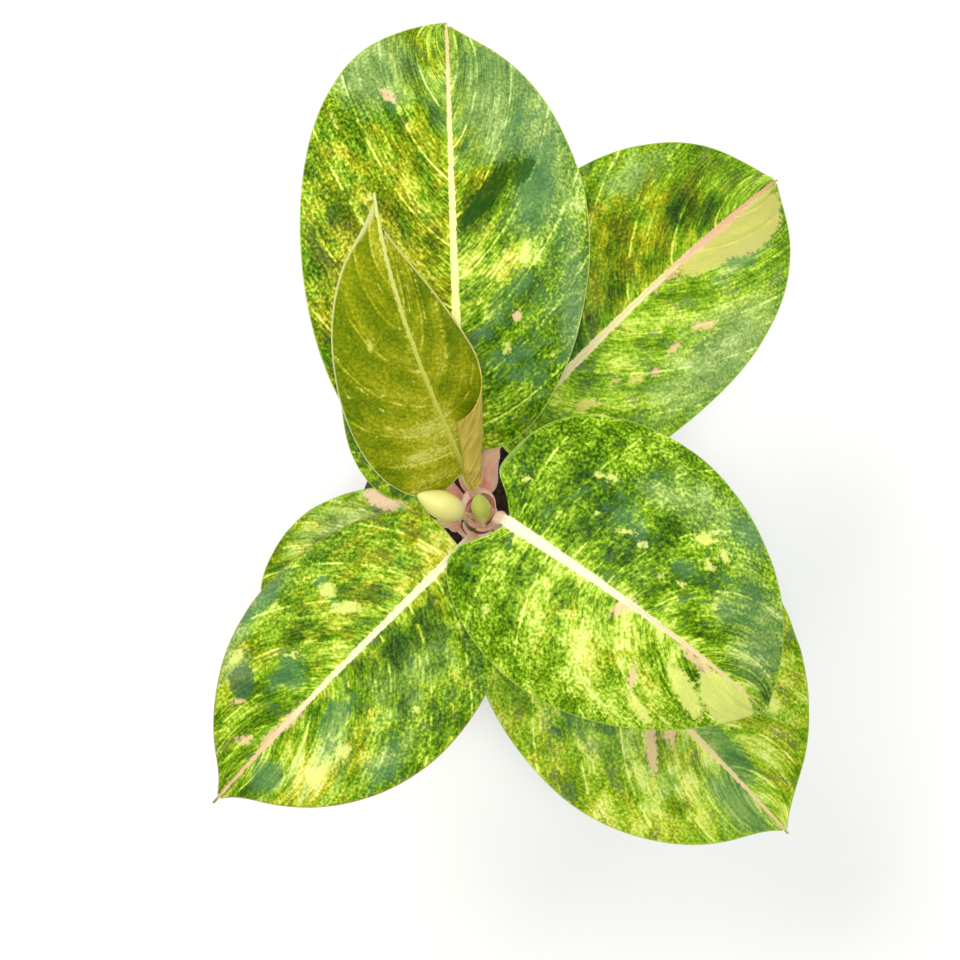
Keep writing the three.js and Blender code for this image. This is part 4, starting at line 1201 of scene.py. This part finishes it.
def soil_skin(name, stops, rough=0.9, grain_mm=0.7):
    """Damp peat and bark: dark, crumbly, not shiny."""
    material, tree = new_material(name)
    place = add_node(tree, "ShaderNodeTexCoord").outputs["Object"]
    grain = add_node(
        tree, "ShaderNodeTexNoise",
        {"Vector": place, "Scale": 1 / (grain_mm * MM), "Detail": 4, "Roughness": 0.7},
    )
    clods = add_node(tree, "ShaderNodeTexNoise", {"Vector": place, "Scale": 1 / (6 * MM), "Detail": 3})
    both = add_node(tree, "ShaderNodeMix", {0: 0.5, 2: grain.outputs[0], 3: clods.outputs[0]})
    shades = add_node(tree, "ShaderNodeValToRGB", {0: both}, stops=stops)
    bump = add_node(tree, "ShaderNodeBump", {"Strength": 0.8, "Distance": 0.0006, "Height": grain})
    shader = add_node(
        tree, "ShaderNodeBsdfPrincipled", {"Base Color": shades, "Roughness": rough, "Normal": bump}
    )
    add_node(tree, "ShaderNodeOutputMaterial", {0: shader})
    return material


PEAT = ((0.3, "#140d0a"), (0.48, "#2a1c14"), (0.6, "#3b281c"), (0.75, "#54392a"))
BARK = ((0.3, "#2f1c12"), (0.5, "#5a3a24"), (0.7, "#8a6140"))
PERLITE = ((0.3, "#cfcabd"), (0.5, "#e6e2d8"), (0.7, "#f4f1ea"))

SOIL_RINGS = 44
SOIL_LUMP_HEIGHT = 0.5


def make_soil():
    hole = STEM_FOOT_RADIUS + CLEARANCE
    bottom = FLOOR_TOP + CLEARANCE
    rings = [ring_at(0, SOIL_TOP - 6), ring_at(hole, SOIL_TOP - 6), ring_at(hole, SOIL_TOP - 0.5)]
    wall = pot_inner(SOIL_TOP) - CLEARANCE
    for radius in np.linspace(hole + 1, wall - 0.8, SOIL_RINGS):
        ring = ring_at(radius, 0.0)
        x, y = ring[:, 0], ring[:, 1]
        lumps = np.sin(x * 1.3 + 2 * np.sin(y * 0.9)) * np.sin(y * 1.1 + 2 * np.sin(x * 0.7))
        ring[:, 2] = soil_height(x, y) + SOIL_LUMP_HEIGHT * lumps
        rings.append(ring)
    rings.append(ring_at(wall, SOIL_TOP - 1))
    rings += [ring_at(pot_inner(bottom) - CLEARANCE, bottom), ring_at(0, bottom)]
    mesh = turned_mesh("potting_soil", rings)
    finish_piece("potting_soil", mesh, soil_skin("damp_peat", PEAT), "soil", "soil")


def chip(name, size, seed, corners=15):
    """A broken lump: the hull of a few random points."""
    random = np.random.default_rng(seed)
    points = random.normal(size=(corners, 3))
    points = points / np.linalg.norm(points, axis=1, keepdims=True)
    points = points * random.uniform(0.75, 1, (corners, 1))
    work = bmesh.new()
    for point in points * np.array(size) / 2:
        work.verts.new(point)
    bmesh.ops.convex_hull(work, input=work.verts)
    loose = [v for v in work.verts if not v.link_faces]
    bmesh.ops.delete(work, geom=loose, context="VERTS")
    bmesh.ops.recalc_face_normals(work, faces=work.faces)
    mesh = bpy.data.meshes.new(name)
    work.to_mesh(mesh)
    work.free()
    return mesh


# A chip may be turned by any angle up to this, in radians, about each axis.
FULL_TURN = 6.28


def crumb_tree(chips, material):
    """Scatters chips over a surface. Its named inputs are the sizes, and the seed is fixed."""
    tree = bpy.data.node_groups.new("scattered_crumbs", "GeometryNodeTree")
    face = tree.interface
    face.new_socket("Surface", in_out="INPUT", socket_type="NodeSocketGeometry")
    for label in ("Crumbs per square metre", "Least distance", "Smallest", "Largest"):
        face.new_socket(label, in_out="INPUT", socket_type="NodeSocketFloat")
    face.new_socket("Seed", in_out="INPUT", socket_type="NodeSocketInt")
    face.new_socket("Crumbs", in_out="OUTPUT", socket_type="NodeSocketGeometry")
    given = add_node(tree, "NodeGroupInput").outputs
    points = add_node(tree, "GeometryNodeDistributePointsOnFaces", {
        "Mesh": given["Surface"], "Density Max": given["Crumbs per square metre"],
        "Distance Min": given["Least distance"], "Seed": given["Seed"],
    }, distribute_method="POISSON")
    kinds = add_node(tree, "GeometryNodeCollectionInfo", {
        "Collection": chips, "Separate Children": True, "Reset Children": True,
    })
    turn = add_node(tree, "FunctionNodeRandomValue", {
        0: (0, 0, 0), 1: (FULL_TURN, FULL_TURN, FULL_TURN), "Seed": given["Seed"],
    }, data_type="FLOAT_VECTOR")
    size = add_node(tree, "FunctionNodeRandomValue", {
        2: given["Smallest"], 3: given["Largest"], "Seed": given["Seed"],
    }, data_type="FLOAT")
    placed = add_node(tree, "GeometryNodeInstanceOnPoints", {
        "Points": points.outputs["Points"], "Instance": kinds, "Pick Instance": True,
        "Rotation": turn.outputs[0], "Scale": size.outputs[1],
    })
    real = add_node(tree, "GeometryNodeRealizeInstances", {0: placed})
    painted = add_node(tree, "GeometryNodeSetMaterial", {"Geometry": real, "Material": material})
    add_node(tree, "NodeGroupOutput", {0: painted})
    return tree


# The rings and sectors of the plain surface that crumbs are scattered on
BED_RINGS = 30
BED_SECTORS = 90
FIRST_CHIP_SEED = 40


def scatter(name, chip_size, kinds, material, values):
    """Crumbs of one kind over the soil, as one plain mesh."""
    chips = bpy.data.collections.new(name + "_chips")
    for k in range(kinds):
        mesh = chip(name, chip_size, FIRST_CHIP_SEED + k)
        chips.objects.link(bpy.data.objects.new(f"{name}_chip_{k}", mesh))
    rings = []
    for radius in np.linspace(STEM_FOOT_RADIUS + 1.5, pot_inner(SOIL_TOP) - 3, BED_RINGS):
        ring = ring_at(radius, 0.0, BED_SECTORS)
        ring[:, 2] = soil_height(ring[:, 0], ring[:, 1])
        rings.append(ring * MM)
    surface = bpy.data.meshes.new("soil_surface")
    faces = []
    for i in range(BED_RINGS - 1):
        inner, outer = i * BED_SECTORS, (i + 1) * BED_SECTORS
        for j in range(BED_SECTORS):
            ahead = (j + 1) % BED_SECTORS
            faces.append((inner + j, outer + j, outer + ahead, inner + ahead))
    surface.from_pydata(np.concatenate(rings).tolist(), [], faces)
    bed = linked(name + "_bed", surface)
    modifier = bed.modifiers.new("crumbs", "NODES")
    modifier.node_group = crumb_tree(chips, material)
    for item in modifier.node_group.interface.items_tree:
        if item.in_out == "INPUT" and item.name in values:
            modifier[item.identifier] = values[item.name]
    bpy.context.view_layer.update()
    evaluated = bed.evaluated_get(bpy.context.evaluated_depsgraph_get())
    mesh = bpy.data.meshes.new_from_object(evaluated)
    bpy.data.objects.remove(bed)
    finish_piece(name, mesh, material, "soil")


def stem_skin():
    """Young cane: smooth pale green skin with tan, papery rings where old stalks fell."""
    material, tree = new_material("green_cane_with_papery_rings")
    place = add_node(tree, "ShaderNodeTexCoord").outputs["Object"]
    stretched = add_node(tree, "ShaderNodeMapping", {"Vector": place, "Scale": (1.0, 1.0, 0.25)})
    fibres = add_node(
        tree, "ShaderNodeTexNoise",
        {"Vector": stretched, "Scale": 1 / (1.2 * MM), "Detail": 4, "Roughness": 0.7},
    )
    rings = add_node(tree, "ShaderNodeAttribute", attribute_name="ring").outputs["Fac"]
    level = add_node(tree, "ShaderNodeMath", {0: fibres, 1: 0.5, 2: rings}, operation="MULTIPLY_ADD")
    shades = add_node(tree, "ShaderNodeValToRGB", {0: level}, stops=(
        (0.15, "#7d9148"), (0.35, "#9aa660"), (0.6, "#b79a6a"), (0.9, "#7a5838"), (1.0, "#f2c8aa"),
    ))
    bump = add_node(tree, "ShaderNodeBump", {"Strength": 0.4, "Distance": 0.0004, "Height": fibres})
    shader = add_node(
        tree, "ShaderNodeBsdfPrincipled", {"Base Color": shades, "Roughness": 0.55, "Normal": bump}
    )
    add_node(tree, "ShaderNodeOutputMaterial", {0: shader})
    return material


# The stem's rings: millimetres from one to the next, how wide one is as a share of that, and how
# far it stands out
STEM_RING_PITCH = 7.5
STEM_RING_WIDTH = 0.09
STEM_RING_RISE = 0.3
STEM_SECTORS = 72
# The mark of the stem's top, which picks the last colour of its ramp
STEM_TOP_MARK = 2.0


def make_stem():
    top = SOIL_TOP + STEM_HEIGHT
    foot = SOIL_TOP - 5
    heights = np.linspace(foot, top - 0.6, 150)
    rings, marks = [ring_at(0, foot, STEM_SECTORS)], [np.zeros(STEM_SECTORS)]
    for z in heights:
        ring = ring_at(1.0, z, STEM_SECTORS)
        angle = np.arctan2(ring[:, 1], ring[:, 0])
        place = (z - SOIL_TOP) / STEM_RING_PITCH + 0.12 * np.sin(angle * 2 + z / 9)
        near = np.exp(-(((place % 1) - 0.5) / STEM_RING_WIDTH) ** 2)
        bumps = 0.08 * np.sin(angle * 5 + z)
        radius = stem_radius(z - SOIL_TOP) - 0.35 + STEM_RING_RISE * near + bumps
        ring[:, :2] *= radius[:, None]
        rings.append(ring)
        marks.append(near + STEM_TOP_MARK * smooth(0.8, 0.88, (z - SOIL_TOP) / STEM_HEIGHT))
    rings += [ring_at(radius, top, STEM_SECTORS) for radius in (STEM_CROWN_RADIUS - 1, 0)]
    marks += [np.full(STEM_SECTORS, STEM_TOP_MARK)] * 2
    rings = np.array(rings)
    kinds = np.zeros((len(rings) - 1, STEM_SECTORS), int)
    mesh = closed_mesh("cane", rings, kinds, {"ring": np.array(marks)}, False)
    finish_piece("cane", mesh, stem_skin(), "stem", "stem")


# Each bud stands on the stem's top and follows a route of a few points. swell_at: where along the
# route the bud begins. stops: its colours from foot to tip.
STALK_OF_BUD = 1.4
BUD_ROWS = 120
BUD_SIDES = 48
# The spathe is rolled, and its outer edge stands out by half this step, in millimetres.
SPATHE_STEP = 0.35
BUDS = {
    "bud_west": dict(
        seat=(-3.2, -4.1), radius=6.8, swell_at=0.75,
        route=((-6, -9, 240), (-8, -13.5, 267), (-14, -12, 281), (-29, -6.5, 289)),
        stops=((0.1, "#e8c79c"), (0.35, "#e2d386"), (0.6, "#d9d479"), (1.0, "#e2dc86")),
    ),
    "bud_south": dict(
        seat=(1.3, -5), radius=4.7, swell_at=0.7,
        route=((1.5, -9, 220), (1.5, -13, 236), (1, -10, 251), (-0.8, -2.5, 266)),
        stops=((0.1, "#dcc08c"), (0.35, "#cdc866"), (0.6, "#b9c450"), (1.0, "#c8d060")),
    ),
}


def through(points, count):
    """A smooth centripetal curve through points, sampled evenly along its length."""
    points = [np.array(p, float) for p in points]
    points = [2 * points[0] - points[1]] + points + [2 * points[-1] - points[-2]]
    samples = []
    for k in range(1, len(points) - 2):
        p0, p1, p2, p3 = points[k - 1 : k + 3]
        steps = ((p0, p1), (p1, p2), (p2, p3))
        t = np.cumsum([0] + [max(np.linalg.norm(b - a), 1e-6) ** 0.5 for a, b in steps])
        for s in np.linspace(t[1], t[2], 60, endpoint=False):
            a1 = p0 + (p1 - p0) * (s - t[0]) / (t[1] - t[0])
            a2 = p1 + (p2 - p1) * (s - t[1]) / (t[2] - t[1])
            a3 = p2 + (p3 - p2) * (s - t[2]) / (t[3] - t[2])
            b1 = a1 + (a2 - a1) * (s - t[0]) / (t[2] - t[0])
            b2 = a2 + (a3 - a2) * (s - t[1]) / (t[3] - t[1])
            samples.append(b1 + (b2 - b1) * (s - t[1]) / (t[2] - t[1]))
    samples.append(points[-2])
    samples = np.array(samples)
    lengths = np.concatenate([[0], np.cumsum(np.linalg.norm(np.diff(samples, axis=0), axis=1))])
    wanted = np.linspace(0, lengths[-1], count)
    return np.stack([np.interp(wanted, lengths, samples[:, k]) for k in range(3)], -1)


def bud_skin(name, stops):
    """Tender, waxy spathe: pale yellow-green over a pinkish foot, with faint ribs along it."""
    material, tree = new_material(name)
    place = add_node(tree, "ShaderNodeAttribute", attribute_name="bud_place").outputs["Vector"]
    parts = add_node(tree, "ShaderNodeSeparateXYZ", {0: place})
    streaks = add_node(tree, "ShaderNodeTexNoise", {"Vector": place, "Scale": 1.0, "Detail": 3})
    wobble = add_node(
        tree, "ShaderNodeMath", {0: streaks, 1: 0.25, 2: parts.outputs[2]}, operation="MULTIPLY_ADD"
    )
    shades = add_node(tree, "ShaderNodeValToRGB", {0: wobble}, stops=stops)
    # Painted shadow along the step of the spathe's rolled edge
    seam = add_node(tree, "ShaderNodeAttribute", attribute_name="seam").outputs["Fac"]
    shadow = add_node(tree, "ShaderNodeMath", {0: seam, 1: 0.6}, operation="MULTIPLY")
    colour = add_node(
        tree, "ShaderNodeMix", {0: shadow, 6: shades, 7: linear("#bcc85a")}, data_type="RGBA"
    ).outputs[2]
    bump = add_node(tree, "ShaderNodeBump", {"Strength": 0.2, "Distance": 0.0003, "Height": streaks})
    shader = add_node(
        tree, "ShaderNodeBsdfPrincipled", {"Base Color": colour, "Roughness": 0.42, "Normal": bump}
    )
    add_node(tree, "ShaderNodeOutputMaterial", {0: shader})
    return material


def make_bud(name):
    bud = BUDS[name]
    top = SOIL_TOP + STEM_HEIGHT + CLEARANCE
    x, y = bud["seat"]
    line = through([(x, y, top), (x, y, top + 8), *bud["route"]], BUD_ROWS + 1)
    share = np.linspace(0, 1, BUD_ROWS + 1)
    forward = np.gradient(line, axis=0)
    forward[0] = (0, 0, 1)
    forward /= np.linalg.norm(forward, axis=1, keepdims=True)
    left, up = leaf_frame(forward, 0.0, 0.0)
    along = np.maximum(0, (share - bud["swell_at"]) / (1 - bud["swell_at"]))
    swell = np.sin(math.pi * along**0.9) ** 0.6
    thin = STALK_OF_BUD * (1 - smooth(0.5, 1, along)) + 0.5 * np.exp(-share * 14)
    wide = thin + (bud["radius"] - STALK_OF_BUD) * swell
    wide[-1] = 0
    turn = np.arange(BUD_SIDES) / BUD_SIDES
    # The spathe is rolled: its outer edge winds once round the bud as a small step.
    wound = (turn[None, :] - 0.35 * along[:, None] - 0.1) % 1
    opened = smooth(0.02, 0.2, along)[:, None]
    step = SPATHE_STEP * (wound - 0.5) * opened * (wide[:, None] > 1.5)
    radius = np.maximum(wide[:, None] + step * np.minimum(wide[:, None] / 4, 1), 0)
    radius[-1] = 0
    angle = turn * 2 * math.pi
    rings = line[:, None] + left[:, None] * (radius * np.cos(angle))[..., None]
    rings = rings + up[:, None] * (radius * np.sin(angle))[..., None]
    seam = np.exp(-((np.minimum(wound, 1 - wound) / 0.03) ** 2)) * opened
    parts = (np.cos(angle) * 4, np.sin(angle) * 4, along[:, None])
    place = np.stack([np.broadcast_to(part, radius.shape) for part in parts], -1)
    rings = np.concatenate([np.broadcast_to(line[:1, None], (1, BUD_SIDES, 3)), rings])
    place = np.concatenate([place[:1], place])
    seam = np.concatenate([seam[:1], seam])
    kinds = np.zeros((BUD_ROWS + 1, BUD_SIDES), int)
    mesh = closed_mesh(name, rings, kinds, {"bud_place": place, "seam": seam}, False)
    skin = bud_skin("waxy_spathe_of_" + name, bud["stops"])
    finish_piece(name.replace("bud", "flower_bud"), mesh, skin, "bud", name)


make_pot()
make_soil()
make_stem()
for bud_name in BUDS:
    make_bud(bud_name)
scatter("soil_crumbs", (1, 0.9, 0.8), 6, soil_skin("dark_crumbs", PEAT, grain_mm=0.5), {
    "Crumbs per square metre": 90000.0, "Least distance": 2.2 * MM,
    "Smallest": 2.2 * MM, "Largest": 5 * MM, "Seed": 5,
})
scatter("bark_chips", (1, 0.6, 0.28), 5, soil_skin("pine_bark", BARK, grain_mm=0.4), {
    "Crumbs per square metre": 14000.0, "Least distance": 6 * MM,
    "Smallest": 5 * MM, "Largest": 11 * MM, "Seed": 9,
})
scatter("perlite_grains", (1, 0.9, 0.85), 5, soil_skin("white_perlite", PERLITE, 0.8, 0.3), {
    "Crumbs per square metre": 9000.0, "Least distance": 7 * MM,
    "Smallest": 1.8 * MM, "Largest": 3.4 * MM, "Seed": 3,
})

# Floor and light
FLOOR_HALF = 3.0
SKY_STRENGTH = 0.48
floor_mesh = bpy.data.meshes.new("floor")
floor_corners = [(x * FLOOR_HALF, y * FLOOR_HALF, 0) for x, y in ((-1, -1), (1, -1), (1, 1), (-1, 1))]
floor_mesh.from_pydata(floor_corners, [], [(0, 1, 2, 3)])
floor = linked("floor", floor_mesh)
# Plain white paper: matt, so that it takes a soft shadow and no reflection
floor_paper, floor_tree = new_material("white_paper_sweep")
paper = add_node(
    floor_tree, "ShaderNodeBsdfPrincipled", {"Base Color": linear("#fafafa"), "Roughness": 0.95}
)
add_node(floor_tree, "ShaderNodeOutputMaterial", {0: paper})
floor_mesh.materials.append(floor_paper)

world = bpy.data.worlds.new("studio")
scene.world = world
world.use_nodes = True
world.node_tree.nodes["Background"].inputs[0].default_value = (1, 1, 1, 1)
world.node_tree.nodes["Background"].inputs[1].default_value = SKY_STRENGTH

LIGHT_AIM = Vector((0, 0, 0.25))


def soft_box(name, place, size, power, tint):
    """A square soft light of a size in metres and a power in watts, which faces the plant."""
    data = bpy.data.lights.new(name, "AREA")
    data.shape = "SQUARE"
    data.size = size
    data.energy = power
    data.color = linear(tint)[:3]
    lamp = linked(name, data)
    lamp.location = place
    lamp.rotation_euler = (LIGHT_AIM - Vector(place)).to_track_quat("-Z", "Y").to_euler()


soft_box("key_light", (-0.9, 0.7, 1.9), 0.9, 18, "#fffaf2")
soft_box("sky_light", (1.3, 0.9, 1.3), 1.2, 8.5, "#eaf3ff")
soft_box("front_light", (0.0, -0.3, 1.9), 0.35, 14, "#fffdf8")
